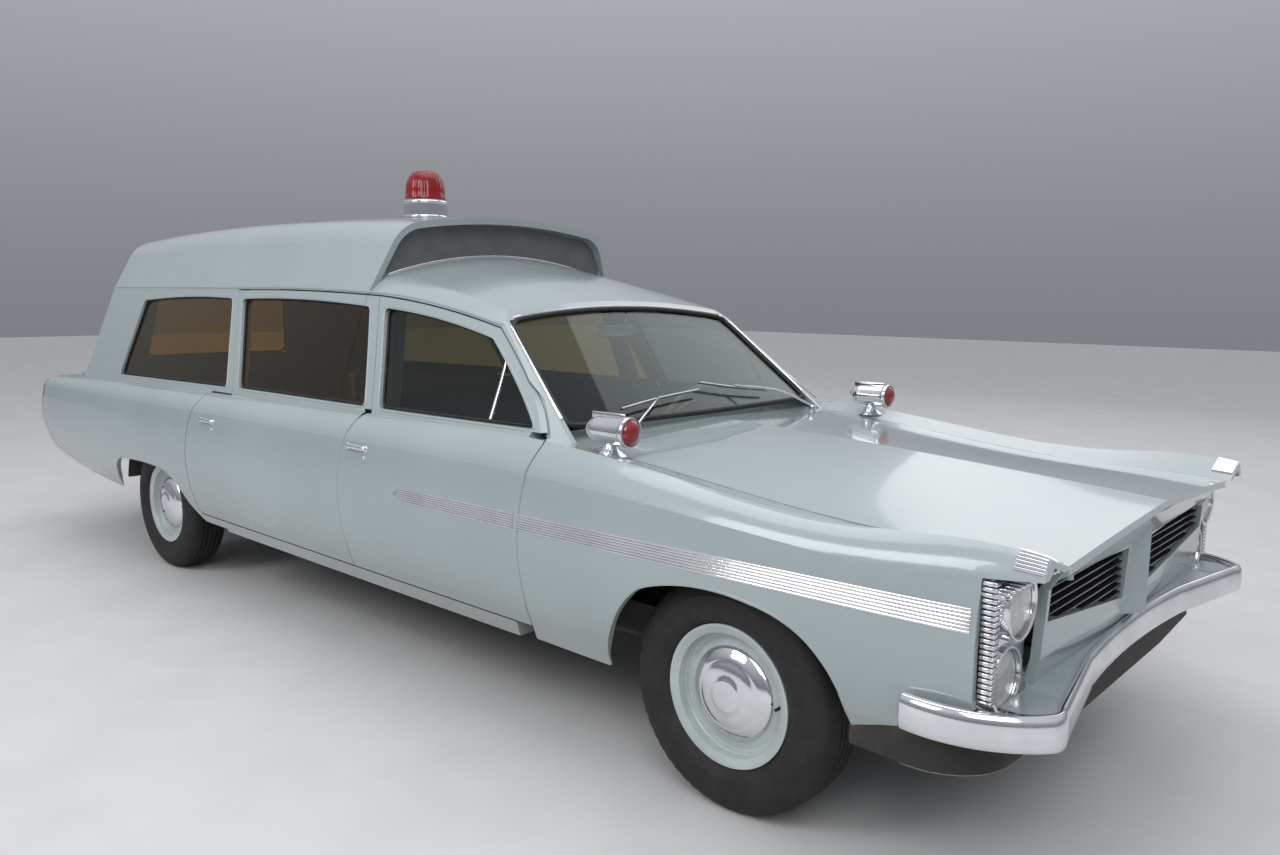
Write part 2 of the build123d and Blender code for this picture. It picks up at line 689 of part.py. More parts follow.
# Underbody: floor, rockers, firewall, wheelhouses and hinge pillars
floor_rear_z = 560
kick_x = -820
firewall_x = 1392
floor_half = 792
rocker = body_outer & block(-700, front_hinge_x, floor_half + seat_gap, 1100, 300, door_bottom - shut_gap)
floor = block(kick_x, firewall_x, -floor_half, floor_half, floor_z, floor_z + floor_thickness)
floor = floor + plan_prism(
    floor_rear_z, floor_rear_z + floor_thickness, (kick_x + 20, -640), (kick_x + 20, 640),
    (tail_corner_x + roof_thickness, 640),
    ((tail_wall_x + roof_thickness + 1, 0), (tail_corner_x + roof_thickness, -640)))
floor_rear_top = floor_rear_z + floor_thickness
floor = floor + block(kick_x - 2, kick_x + 20, -floor_half, floor_half, floor_z, floor_rear_top)
firewall = block(firewall_x - 20, firewall_x, -700, 700, floor_z, 900)
firewall = firewall + block(1260, firewall_x, -92, 92, floor_z, 560)
firewall = firewall - block(1200, 1374, -76, 76, 300, 540)
house = bar_y(rear_axle_x, tyre_radius, 640, 950, 470) - bar_y(rear_axle_x, tyre_radius, 654, 960, 452)
house = house & block(-2000, kick_x + 2, 600, 904, 424, 900)
underbody = floor + firewall + house + flip(house)

# Pillars that carry the doors: narrow where the door's inner face passes, deep inboard of it
pillar_inner = 752
pillar_outer = 822
pillar_face = 798
pillar_low = door_bottom - shut_gap


def hinge_pillar(x, top):
    """Upright just ahead of a hinge axis."""
    deep = block(x - 30, x + 62, pillar_inner, pillar_face, pillar_low, top)
    edge = block(x + 8, x + 62, pillar_inner, pillar_outer, pillar_low, top)
    return deep + edge + hinge_arms(x)


pillar_shoulder = 930
centre_top = loft([
    outline(plan_plane(pillar_shoulder), (rear_hinge_x - 30, 722), (rear_hinge_x + 62, 722),
            (rear_hinge_x + 62, 764), (rear_hinge_x - 30, 764)),
    outline(plan_plane(1447), (206, 592), (290, 592), (290, 638), (206, 638))], ruled=True)
side_frame = rocker + hinge_pillar(rear_hinge_x, pillar_shoulder) + centre_top
side_frame = side_frame + block(
    rear_hinge_x + 8, rear_hinge_x + 62, floor_half + seat_gap, pillar_outer, door_bottom - 40, pillar_low + 4)
side_frames = side_frame + flip(side_frame)

cowl_post = hinge_pillar(front_hinge_x, 925)
cowl_post = cowl_post + block(front_hinge_x - 30, front_hinge_x + 62, 735, 790, 880, 925)
cowl_side = block(front_hinge_x + 8, front_hinge_x + 62, 735, 756, 910, 990) & body_outer
cowl_post = cowl_post + cowl_side
hood_rest = block(1500, 1596, 560, 640, 900, 1000) & (Pos(0, 0, -seat_gap) * body_inner)
hood_rest = hood_rest + (block(1500, 1536, 560, 640, 900, 1000) & body_outer)
cowl_post = cowl_post + hood_rest
cowl = cowl + cowl_post + flip(cowl_post)

# Frame, seen from below
rail_y = 400
rear_rail_low = 400
riser_x = -900
frame = None
frame_parts = [
    (1250, 2860, rail_y - 35, rail_y + 35, frame_low, frame_high),
    (-900, 1330, 600, 670, frame_low, frame_high),
    (-2810, -840, 450, 510, rear_rail_low, rear_rail_low + 80),
    (1250, 1330, -670, 670, frame_low, frame_high),
    (-900, -830, -670, 670, frame_low, frame_high),
    (2780, 2860, -435, 435, frame_low, frame_high),
    (-2810, -2750, -510, 510, 400, 480),
    (-900, -830, 450, 510, frame_low, 480),
    (2790, 2860, rail_y - 5, rail_y + 35, frame_low, 530),
    (2790, 2993, rail_y - 5, rail_y + 35, 470, 530),
]
for x0, x1, y0, y1, z0, z1 in frame_parts:
    piece = block(x0, x1, y0, y1, z0, z1)
    if y0 > 0:
        piece = piece + flip(piece)
    frame = piece if frame is None else frame + piece
kingpin_y = track / 2 - 72
frame = frame + block(front_axle_x - 60, front_axle_x + 60, -480, 480, 200, 262)
for sign in (1, -1):
    lower_arm = plan_prism(
        212, 236, (front_axle_x - 90, sign * 440), (front_axle_x + 90, sign * 440),
        (front_axle_x + 26, sign * (kingpin_y + 22)), (front_axle_x - 26, sign * (kingpin_y + 22)))
    upper_arm = plan_prism(
        446, 462, (front_axle_x - 70, sign * 420), (front_axle_x + 70, sign * 420),
        (front_axle_x + 20, sign * (kingpin_y + 18)), (front_axle_x - 20, sign * (kingpin_y + 18)))
    tower = on_side(block(front_axle_x - 80, front_axle_x + 80, 385, 440, 330, 462), sign)
    frame = frame + lower_arm + upper_arm + tower

# Rear axle with leaf springs
axle = bar_y(rear_axle_x, tyre_radius, -track / 2 + 96, track / 2 - 96, 42)
axle = axle + Pos(rear_axle_x, 0, tyre_radius) * Sphere(140)
spring_y = 480
for sign in (1, -1):
    y0, y1 = spring_y - 30, spring_y + 30
    if sign < 0:
        y0, y1 = -y1, -y0
    spring_top = rear_rail_low - seat_gap
    spring_front = riser_x - seat_gap
    spring = side_prism(
        y0, y1, (rear_axle_x - 700, spring_top), ((rear_axle_x, 256), (spring_front, spring_top)),
        (spring_front, spring_top - 20), ((rear_axle_x, 232), (rear_axle_x - 700, spring_top - 20)))
    seat = block(rear_axle_x - 60, rear_axle_x + 60, y0 - 4, y1 + 4, 250, 320)
    plate = bar_y(rear_axle_x, tyre_radius, sign * (track / 2 - 96) - 8, sign * (track / 2 - 96) + 8, 120)
    axle = axle + spring + seat + plate

# Engine block
engine = block(1500, 2250, -260, 260, 255, 700)

# Wheel and tyre, turned about the axle; u runs outwards along the axle
def turned(face):
    return revolve(face, axis=Axis.X)


def ring_face(*points):
    """Half section given as (u, radius)."""
    return outline(Plane.XY, *points)


rim_half = rim_width / 2
tyre_half = tyre_width / 2
drum_radius = 138
drum_inner = -38
bore_radius = 32
bore_end = 24
disc_face = 42
wheel_model = turned(outline(
    Plane.XY, (bore_end, 0), (bore_end, bore_radius), (drum_inner, bore_radius), (drum_inner, drum_radius),
    (4, drum_radius), (8, 70), (33, 104), (29, rim_radius - 19), (20, rim_radius - 44),
    (-20, rim_radius - 44), (-rim_half + 8, rim_radius - 12), (-rim_half, rim_radius + rim_lip - 8),
    (-rim_half, rim_radius + rim_lip), (-rim_half + 8, rim_radius + rim_lip), (-rim_half + 14, rim_radius - 2),
    (-16, rim_radius - 34), (16, rim_radius - 34), (30, rim_radius - 6), (rim_half - 14, rim_radius - 2),
    (rim_half - 8, rim_radius + rim_lip), (rim_half, rim_radius + rim_lip), (rim_half, rim_radius + rim_lip - 8),
    (rim_half - 8, rim_radius - 12), (disc_face + 2, rim_radius - 15), (disc_face, 160),
    (disc_face + 6, hubcap_radius), (disc_face + 27, 104), (disc_face + 38, 60),
    (disc_face + hubcap_depth, 12), (disc_face + hubcap_depth, 0)))
bead = 0.3
tyre_profile = [
    (rim_half - 8, rim_radius + rim_lip + bead), (tyre_half - 6, 232), (tyre_half, 264),
    (tyre_half - 8, tyre_radius - tyre_shoulder), (tyre_half - 26, tyre_radius - 8), (tyre_half - 48, tyre_radius)]
tyre_section = ring_face(
    (-rim_half + 14 + bead, rim_radius - 2 + bead), *[(-u, r) for u, r in tyre_profile],
    *reversed(tyre_profile), (rim_half - 14 - bead, rim_radius - 2 + bead),
    (rim_half - 14 - bead, rim_radius + 20), (-rim_half + 14 + bead, rim_radius + 20))
tyre_model = turned(tyre_section)


def at_wheel(model, x, sign):
    """Wheel model onto its axle, outer face outwards."""
    return Pos(x, sign * track / 2, tyre_radius) * Rot(0, 0, 90 * sign) * model


# Knuckles carry the front wheels
knuckle = post(front_axle_x, kingpin_y, 236 + seat_gap, 446 - seat_gap, 20)
knuckle = knuckle + bar_y(front_axle_x, tyre_radius, kingpin_y, track / 2 + 20, 31.7)
knuckle = knuckle + bar_y(front_axle_x, tyre_radius, kingpin_y, kingpin_y + 8, 96)
stub = bar_y(rear_axle_x, tyre_radius, track / 2 - 110, track / 2 + 20, 31.7)
axle = axle + stub + flip(stub)

# Inside: dashboard, wheel, seats
dashboard = side_prism(
    -690, 690, (1370, 930), (1180, 925), ((1140, 880), (1165, 820)), (1230, 760), (1370, 760))
column_y = 370
column_tilt = 28
wheel_at = (1000, column_y, 880)
steer_dir = (math.cos(math.radians(column_tilt)), 0, -math.sin(math.radians(column_tilt)))
column_foot = (wheel_at[0] + steer_dir[0] * 30, column_y, wheel_at[2] + steer_dir[2] * 30)
column = Cylinder(24, 230, align=(Align.CENTER, Align.CENTER, Align.MIN))
column = Plane(origin=column_foot, z_dir=steer_dir) * column
dashboard = dashboard + column
grip = turned(ring_face((-6, 190), (-12, 200), (-6, 210), (6, 210), (12, 200), (6, 190)))
hub = turned(ring_face((-12, 0), (-12, 34), (12, 34), (30 - seat_gap, 16), (30 - seat_gap, 0)))
steering_wheel = grip + hub + block(-5, 5, -196, 196, -15, 15)
steering_wheel = Pos(*wheel_at) * Rot(0, column_tilt, 0) * steering_wheel
seat = side_prism(
    -620, 620, (980, 440), (1000, 560), ((960, 610), (900, 612)), (520, 580), (430, 1060), (330, 1060),
    (400, 440))
seat = seat + block(420, 960, -600, 600, 374, 440)
bench = block(-2300, -300, -560, -160, 582.3, 840) + block(-2300, -300, 150, 560, 582.3, 760)
bench = bench & block(-2300, kick_x - 10, -700, 700, 500, 900)

# Roof beacon and fender lamps
beacon_x = -400
beacon_top = 1905
beacon_base = post(beacon_x, 0, 1700, beacon_top, 108) - upper_outer
beacon_base = beacon_base & block(-600, -200, -200, 200, 1780, 1910)
dome_profile = outline(
    Plane.XY, (beacon_top + seat_gap, 0), (beacon_top + seat_gap, 97), (1985, 92), ((2034, 66), (2050, 20)),
    (2050, 0))
beacon_dome = Pos(beacon_x, 0, 0) * Rot(0, -90, 0) * turned(dome_profile)
fender_lamp_x = front_axle_x - 535
fender_lamp_y = 808
fender_lamp_z = 1030
fender_lamp = post(fender_lamp_x, fender_lamp_y, 850, fender_lamp_z, 18) - body_outer
fender_lamp = fender_lamp & block(1000, 2400, 700, 900, 850, 1100)
lamp_shell = revolve(
    outline(Plane.XY, (-105, 0), ((-85, 26), (-35, 42)), (72, 46), (85, 44), (85, 0)), axis=Axis.X)
fender_lamp = fender_lamp + Pos(fender_lamp_x, fender_lamp_y, fender_lamp_z) * lamp_shell
fender_lamps = fender_lamp + flip(fender_lamp)

# Rear bumper: a bar between the two tail ends
bar_x = tail_x + 62
rear_bumper = plan_prism(
    470, 590, (bar_x, 830), (bar_x - 26, 815), ((tail_x + 4, 0), (bar_x - 26, -815)), (bar_x, -830),
    ((tail_x + 30, 0), (bar_x, 830)))
rear_bumper = rear_bumper + bumper_end + flip(bumper_end)
tail_lamps = tail_lens + flip(tail_lens)

parts = {
    "chassis_frame": frame + engine,
    "underbody": underbody,
    "rear_axle": axle,
    "cowl": cowl,
    "side_frames": side_frames,
    "hood": hood,
    "nose_panel": nose_panel,
    "grille": grille,
    "headlamps": headlamps,
    "front_bumper": front_bumper,
    "rear_bumper": rear_bumper,
    "roof": roof,
    "windshield": windshield,
    "quarter_left": quarter,
    "quarter_right": quarter_right,
    "quarter_glass": quarter_glass,
    "loading_door": loading_door,
    "loading_glass": loading_glass,
    "tail_lamps": tail_lamps,
    "dashboard": dashboard,
    "steering_wheel": steering_wheel,
    "seats": seat + bench,
    "beacon_base": beacon_base,
    "beacon_dome": beacon_dome,
    "fender_lamps": fender_lamps,
}
for name, sign in sides:
    parts[f"front_fender_{name}"] = on_side(front_fender, sign)
    parts[f"front_door_{name}"] = on_side(front_door, sign)
    parts[f"rear_door_{name}"] = on_side(rear_door, sign)
    parts[f"front_glass_{name}"] = on_side(front_pane, sign)
    parts[f"rear_glass_{name}"] = on_side(rear_pane, sign)
    parts[f"knuckle_{name}"] = on_side(knuckle, sign)
    for end, x in (("front", front_axle_x), ("rear", rear_axle_x)):
        parts[f"wheel_{end}_{name}"] = at_wheel(wheel_model, x, sign)
        parts[f"tyre_{end}_{name}"] = at_wheel(tyre_model, x, sign)

os.makedirs("parts", exist_ok=True)
for name, shape in parts.items():
    export_step(shape, f"parts/{name}.step")
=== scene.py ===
import bpy
import math
from mathutils import Matrix, Vector


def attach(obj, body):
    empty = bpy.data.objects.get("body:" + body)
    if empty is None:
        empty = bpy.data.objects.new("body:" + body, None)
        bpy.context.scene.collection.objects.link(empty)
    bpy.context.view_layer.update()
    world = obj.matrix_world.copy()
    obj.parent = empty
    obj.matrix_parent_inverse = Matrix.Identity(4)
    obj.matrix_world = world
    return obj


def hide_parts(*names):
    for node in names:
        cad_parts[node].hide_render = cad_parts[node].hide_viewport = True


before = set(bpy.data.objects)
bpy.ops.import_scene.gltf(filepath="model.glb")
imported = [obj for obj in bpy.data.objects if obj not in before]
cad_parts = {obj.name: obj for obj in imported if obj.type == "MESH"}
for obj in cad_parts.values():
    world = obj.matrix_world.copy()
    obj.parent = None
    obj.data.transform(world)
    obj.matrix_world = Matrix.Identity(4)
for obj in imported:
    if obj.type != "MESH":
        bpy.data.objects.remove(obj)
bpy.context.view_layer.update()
sides = (("left", 1), ("right", -1))


# Camera and light
cameraView = {"place": (3.802, -3.03, 1.453), "yaw": 132.19, "pitch": -7.63, "roll": 0.535, "lens": 28.03}
roomLights = [
    {"place": (5.5, -5.5, 6.0), "size": 5.0, "power": 275},
    {"place": (-1.5, -8.5, 6.5), "size": 4.0, "power": 260},
    {"place": (0.0, 0.5, 7.5), "size": 6.0, "power": 185},
    {"place": (0.5, 8.0, 6.5), "size": 6.0, "power": 110},
]


def addCamera(view):
    yaw, pitch, roll = (math.radians(view[key]) for key in ("yaw", "pitch", "roll"))
    ahead = Vector((math.cos(yaw) * math.cos(pitch), math.sin(yaw) * math.cos(pitch), math.sin(pitch)))
    level = Vector((math.sin(yaw), -math.cos(yaw), 0))
    above = level.cross(ahead)
    right = level * math.cos(roll) + above * math.sin(roll)
    up = above * math.cos(roll) - level * math.sin(roll)
    turn = Matrix((right, up, -ahead)).transposed()
    data = bpy.data.cameras.new("camera")
    data.sensor_width = 36
    data.lens = view["lens"]
    data.clip_start = 0.05
    camera = bpy.data.objects.new("camera", data)
    camera.matrix_world = Matrix.Translation(view["place"]) @ turn.to_4x4()
    bpy.context.collection.objects.link(camera)
    bpy.context.scene.camera = camera


def addLight(number, light):
    data = bpy.data.lights.new(f"softbox{number}", "AREA")
    data.size = light["size"]
    data.energy = light["power"]
    lamp = bpy.data.objects.new(f"softbox{number}", data)
    place = Vector(light["place"])
    aim = Vector((0, 0, 0.7)) - place
    lamp.matrix_world = Matrix.Translation(place) @ aim.to_track_quat("-Z", "Y").to_matrix().to_4x4()
    bpy.context.collection.objects.link(lamp)


addCamera(cameraView)
for number, light in enumerate(roomLights):
    addLight(number, light)
bpy.context.scene.view_settings.view_transform = "Standard"
print("camera and light")


# Shader values with arithmetic
class Value:
    def __init__(self, tree, socket):
        self.tree = tree
        self.socket = socket

    def node(self, kind, inputs, out=0, **settings):
        made = self.tree.nodes.new(kind)
        for key, setting in settings.items():
            setattr(made, key, setting)
        for key, given in inputs.items():
            if isinstance(given, Value):
                self.tree.links.new(given.socket, made.inputs[key])
            else:
                made.inputs[key].default_value = given
        return Value(self.tree, made.outputs[out])

    def maths(self, operation, other):
        return self.node("ShaderNodeMath", {0: self, 1: other}, operation=operation)

    def __add__(self, other):
        return self.maths("ADD", other)

    def __mul__(self, other):
        return self.maths("MULTIPLY", other)

    def __rsub__(self, other):
        return self * -1 + other

    def part(self, axis):
        return self.node("ShaderNodeSeparateXYZ", {0: self}, out=axis)

    def noise(self, scale, detail=3, roughness=0.55):
        return self.node("ShaderNodeTexNoise", {
            "Vector": self, "Scale": scale, "Detail": detail, "Roughness": roughness})

    def cells(self, scale):
        return self.node("ShaderNodeTexVoronoi", {"Vector": self, "Scale": scale})

    def sine(self):
        return self.node("ShaderNodeMath", {0: self}, operation="SINE")

    def rise(self, low, high):
        return self.node("ShaderNodeMapRange", {"Value": self, "From Min": low, "From Max": high},
                         interpolation_type="SMOOTHSTEP")

    def blend(self, first, second):
        return self.node("ShaderNodeMix", {0: self, 6: first, 7: second}, out=2, data_type="RGBA")

    def bump(self, strength, distance):
        return self.node("ShaderNodeBump", {"Height": self, "Strength": strength, "Distance": distance})


def surface(name, look, vary=None):
    material = bpy.data.materials.new(name)
    material.use_nodes = True
    tree = material.node_tree
    shader = tree.nodes["Principled BSDF"]
    for key, setting in look.items():
        shader.inputs[key].default_value = setting
    if vary:
        place = Value(tree, tree.nodes.new("ShaderNodeTexCoord").outputs["Object"])
        for key, value in vary(place).items():
            tree.links.new(value.socket, shader.inputs[key])
    return material


def colour(red, green, blue):
    return (red, green, blue, 1)


# Room round the object: dim at eye level, brighter overhead
roomTones = {"low": colour(0.2, 0.21, 0.23), "high": colour(0.6, 0.62, 0.65), "rise": (-0.1, 0.65)}
world = bpy.data.worlds.new("room")
world.use_nodes = True
roomTree = world.node_tree
height = Value(roomTree, roomTree.nodes.new("ShaderNodeTexCoord").outputs["Generated"]).part(2)
tone = height.rise(*roomTones["rise"]).blend(roomTones["low"], roomTones["high"])
roomTree.links.new(tone.socket, roomTree.nodes["Background"].inputs["Color"])
bpy.context.scene.world = world

paintTones = {"fresh": colour(0.325, 0.378, 0.385), "shade": colour(0.3, 0.35, 0.36),
              "dust": colour(0.23, 0.23, 0.21)}


def paintVary(place):
    broad = place.noise(1.1, 3)
    fine = place.noise(55, 4, 0.65)
    height = place.part(2)
    grime = (1 - height.rise(0.24, 0.6)) * (broad.rise(0.3, 0.75) * 0.5 + 0.25)
    tone = broad.rise(0.35, 0.65).blend(paintTones["fresh"], paintTones["shade"])
    waves = place.noise(2.2, 1) * 1.0 + place.noise(180, 2) * 0.006
    return {
        "Base Color": grime.blend(tone, paintTones["dust"]),
        "Roughness": fine * 0.1 + grime * 0.35 + 0.17,
        "Normal": waves.bump(0.35, 0.012),
    }


def worn(light, dark, low, spread, scale, depth):
    # Plain material with cloudy tone, uneven gloss and a fine grain
    def vary(place):
        cloud = place.noise(scale * 0.12, 3)
        grain = place.noise(scale, 4, 0.7)
        return {
            "Base Color": cloud.rise(0.35, 0.68).blend(light, dark),
            "Roughness": grain * spread + low,
            "Normal": grain.bump(0.5, depth),
        }
    return vary


def vinylVary(light, dark):
    def vary(place):
        grain = place.cells(420) + place.noise(900, 2) * 0.4
        cloud = place.noise(9, 3)
        return {
            "Base Color": cloud.rise(0.35, 0.7).blend(light, dark),
            "Roughness": cloud * 0.2 + 0.36,
            "Normal": grain.bump(0.35, 0.0015),
        }
    return vary


def glassy(name, tint, gloss):
    # Clear sheet: tinted see-through with a mirror sheen at a slant
    material = bpy.data.materials.new(name)
    material.use_nodes = True
    tree = material.node_tree
    shader = tree.nodes["Principled BSDF"]
    shader.inputs["Base Color"].default_value = colour(0.9, 0.93, 0.93)
    shader.inputs["Metallic"].default_value = 1
    shader.inputs["Roughness"].default_value = gloss
    clear = tree.nodes.new("ShaderNodeBsdfTransparent")
    clear.inputs["Color"].default_value = tint
    slant = Value(tree, tree.nodes.new("ShaderNodeLayerWeight").outputs["Facing"])
    sheen = slant * slant * slant * slant * 0.6 + 0.03
    both = tree.nodes.new("ShaderNodeMixShader")
    tree.links.new(sheen.socket, both.inputs[0])
    tree.links.new(clear.outputs[0], both.inputs[1])
    tree.links.new(shader.outputs[0], both.inputs[2])
    tree.links.new(both.outputs[0], tree.nodes["Material Output"].inputs["Surface"])
    return material


def lensVary(light, dark, flutes):
    def vary(place):
        ribs = (place.part(1) * flutes).sine() + (place.part(2) * flutes * 0.5).sine() * 0.4
        return {"Base Color": place.noise(30, 2).blend(light, dark), "Normal": ribs.bump(0.3, 0.0015)}
    return vary


finish = {
    "paint": surface("paint", {"Coat Weight": 0.8, "Coat Roughness": 0.06}, paintVary),
    "chrome": surface("chrome", {"Metallic": 1.0}, worn(
        colour(0.8, 0.81, 0.83), colour(0.7, 0.71, 0.73), 0.03, 0.12, 60, 0.0004)),
    "smokedChrome": surface("darkChrome", {"Metallic": 1.0}, worn(
        colour(0.16, 0.16, 0.17), colour(0.12, 0.12, 0.13), 0.12, 0.12, 60, 0.0004)),
    "wheelPaint": surface("wheelEnamel", {"Coat Weight": 0.5, "Coat Roughness": 0.1}, worn(
        colour(0.43, 0.48, 0.48), colour(0.36, 0.4, 0.4), 0.22, 0.2, 60, 0.001)),
    "cream": surface("creamEnamel", {}, worn(
        colour(0.48, 0.45, 0.37), colour(0.4, 0.37, 0.3), 0.35, 0.2, 120, 0.0008)),
    # Darker paint for the wall under the brow: painted shade for the shadow in its recess
    "browPaintedShade": surface("shadedPaint", {"Coat Weight": 0.3, "Coat Roughness": 0.2}, worn(
        colour(0.125, 0.13, 0.13), colour(0.105, 0.11, 0.11), 0.35, 0.2, 90, 0.0006)),
    "under": surface("underside", {"Specular IOR Level": 0.3}, worn(
        colour(0.03, 0.029, 0.028), colour(0.055, 0.05, 0.044), 0.45, 0.4, 50, 0.003)),
    "cast": surface("castIron", {"Metallic": 0.4}, worn(
        colour(0.09, 0.09, 0.09), colour(0.14, 0.12, 0.1), 0.4, 0.4, 120, 0.002)),
    "tyre": surface("tyreRubber", {"Specular IOR Level": 0.35}, worn(
        colour(0.013, 0.013, 0.014), colour(0.02, 0.019, 0.019), 0.52, 0.3, 150, 0.001)),
    "rubber": surface("sealRubber", {"Specular IOR Level": 0.4}, worn(
        colour(0.012, 0.012, 0.012), colour(0.022, 0.022, 0.022), 0.4, 0.3, 200, 0.0006)),
    "vinyl": surface("blackVinyl", {}, vinylVary(colour(0.03, 0.03, 0.034), colour(0.045, 0.044, 0.046))),
    "tanVinyl": surface("tanVinyl", {}, vinylVary(colour(0.3, 0.2, 0.09), colour(0.22, 0.14, 0.06))),
    "plastic": surface("moulding", {}, worn(
        colour(0.02, 0.02, 0.022), colour(0.035, 0.035, 0.036), 0.28, 0.2, 220, 0.0008)),
    "darkPaint": surface("grooveBlack", {}, worn(
        colour(0.012, 0.012, 0.014), colour(0.02, 0.02, 0.022), 0.35, 0.2, 200, 0.0004)),
    "glass": glassy("clearGlass", colour(0.6, 0.66, 0.65), 0.02),
    "amberGlass": glassy("amberGlass", colour(0.7, 0.58, 0.33), 0.02),
    "sideGlass": glassy("sideGlass", colour(0.5, 0.54, 0.52), 0.02),
    "domeLens": surface("domeLens", {"Coat Weight": 0.2, "Coat Roughness": 0.05, "Specular IOR Level": 0.35}, worn(
        colour(0.26, 0.003, 0.005), colour(0.18, 0.002, 0.003), 0.12, 0.1, 60, 0.0002)),
    "redLens": surface("redLens", {"Roughness": 0.12, "Coat Weight": 1.0, "Transmission Weight": 0.12}, lensVary(
        colour(0.33, 0.006, 0.009), colour(0.22, 0.004, 0.006), 260)),
    "clearLens": surface("clearLens", {"Roughness": 0.05, "Coat Weight": 1.0, "Transmission Weight": 0.55}, lensVary(
        colour(0.86, 0.88, 0.88), colour(0.75, 0.77, 0.78), 900)),
    "floor": surface("paleFloor", {}, worn(
        colour(0.6, 0.6, 0.6), colour(0.57, 0.57, 0.57), 0.55, 0.1, 20, 0.0005)),
}
print("materials")

nodeFinish = {
    "chassis_frame": "under", "underbody": "under", "rear_axle": "under",
    "grille": "darkPaint", "headlamps": "chrome", "front_bumper": "chrome", "rear_bumper": "chrome",
    "windshield": "glass", "quarter_glass": "amberGlass", "loading_glass": "amberGlass",
    "rear_glass_left": "amberGlass", "rear_glass_right": "amberGlass",
    "front_glass_left": "sideGlass", "front_glass_right": "sideGlass",
    "tail_lamps": "redLens", "dashboard": "plastic", "steering_wheel": "plastic", "seats": "vinyl",
    "beacon_base": "chrome", "beacon_dome": "domeLens", "fender_lamps": "chrome",
    "knuckle_left": "cast", "knuckle_right": "cast",
}
for name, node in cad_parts.items():
    family = {"tyre": "tyre", "wheel": "wheelPaint"}.get(name.split("_")[0], "paint")
    key = nodeFinish.get(name, family)
    node.data.materials.clear()
    node.data.materials.append(finish[key])

bpy.ops.mesh.primitive_plane_add(size=60, location=(0, 0, 0))
floor = bpy.context.object
floor.name = "floor"
floor.data.materials.append(finish["floor"])
print("CAD finishes and floor")


# Making pieces
def pick(piece):
    bpy.ops.object.select_all(action="DESELECT")
    bpy.context.view_layer.objects.active = piece
    piece.select_set(True)
    return piece


def settle(piece):
    # Modifiers applied and the place moved into the mesh
    pick(piece)
    bpy.ops.object.convert(target="MESH")
    bpy.ops.object.transform_apply(location=True, rotation=True, scale=True)
    return bpy.context.object


def join(pieces):
    pick(pieces[0])
    for piece in pieces[1:]:
        piece.select_set(True)
    if len(pieces) > 1:
        bpy.ops.object.join()
    return bpy.context.object


def hand(piece, name, body, look, smooth=32):
    # Name, finish and body of a new piece
    piece.name = name
    piece.data.name = name
    if not piece.data.materials:
        piece.data.materials.append(finish[look])
    pick(piece)
    bpy.ops.object.shade_smooth_by_angle(angle=math.radians(smooth))
    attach(piece, body)
    return piece


def bright(piece, name, body="body", smooth=50):
    return hand(piece, name, body, "chrome", smooth)


def outwards(piece):
    # Merged doubles and faces turned outwards
    pick(piece)
    bpy.ops.object.mode_set(mode="EDIT")
    bpy.ops.mesh.select_all(action="SELECT")
    bpy.ops.mesh.remove_doubles(threshold=0.00002)
    bpy.ops.mesh.normals_make_consistent(inside=False)
    bpy.ops.object.mode_set(mode="OBJECT")
    return piece


def bevelled(piece, width, segments=3):
    modifier = piece.modifiers.new("bevel", "BEVEL")
    modifier.width = width
    modifier.segments = segments
    modifier.limit_method = "ANGLE"
    return piece


def box(low, high, width=0.004, segments=3):
    bpy.ops.object.select_all(action="DESELECT")
    middle = [(a + b) / 2 for a, b in zip(low, high)]
    bpy.ops.mesh.primitive_cube_add(size=1, location=middle)
    piece = bpy.context.object
    piece.scale = [b - a for a, b in zip(low, high)]
    bpy.ops.object.transform_apply(location=False, rotation=False, scale=True)
    return settle(bevelled(piece, width, segments))


def sideBox(sign, x, y, z, width=0.004, segments=3):
    # Box on one side of the vehicle, its y range given for the left side
    low, high = sorted((sign * y[0], sign * y[1]))
    return box((x[0], low, z[0]), (x[1], high, z[1]), width, segments)


def boxAt(place, low, high, width=0.004, segments=3):
    # Box with its corners given from a place
    low, high = ([p + q for p, q in zip(place, corner)] for corner in (low, high))
    return box(low, high, width, segments)


def drum(place, radius, depth, axis="Z", sections=32, width=0.003):
    bpy.ops.object.select_all(action="DESELECT")
    turn = {"X": (0, math.pi / 2, 0), "Y": (math.pi / 2, 0, 0), "Z": (0, 0, 0)}[axis]
    bpy.ops.mesh.primitive_cylinder_add(
        vertices=sections, radius=radius, depth=depth, location=place, rotation=turn)
    return settle(bevelled(bpy.context.object, width, 2))


def tube(points, radius, closed=False, straight=False, resolution=2):
    # Bar of round section along a few points
    data = bpy.data.curves.new("tube", "CURVE")
    data.dimensions = "3D"
    data.bevel_depth = radius
    data.bevel_resolution = resolution
    data.use_fill_caps = not closed
    if straight:
        spline = data.splines.new("POLY")
        spline.points.add(len(points) - 1)
        for point, place in zip(spline.points, points):
            point.co = (*place, 1)
    else:
        data.resolution_u = 8
        spline = data.splines.new("BEZIER")
        spline.bezier_points.add(len(points) - 1)
        for point, place in zip(spline.bezier_points, points):
            point.co = place
            point.handle_left_type = "AUTO"
            point.handle_right_type = "AUTO"
    spline.use_cyclic_u = closed
    piece = bpy.data.objects.new("tube", data)
    bpy.context.collection.objects.link(piece)
    return outwards(settle(piece))


def bead(places, radius, closed=False, resolution=2):
    # Straight-jointed tube through the places that were found
    return tube([place for place in places if place], radius, closed, True, resolution)


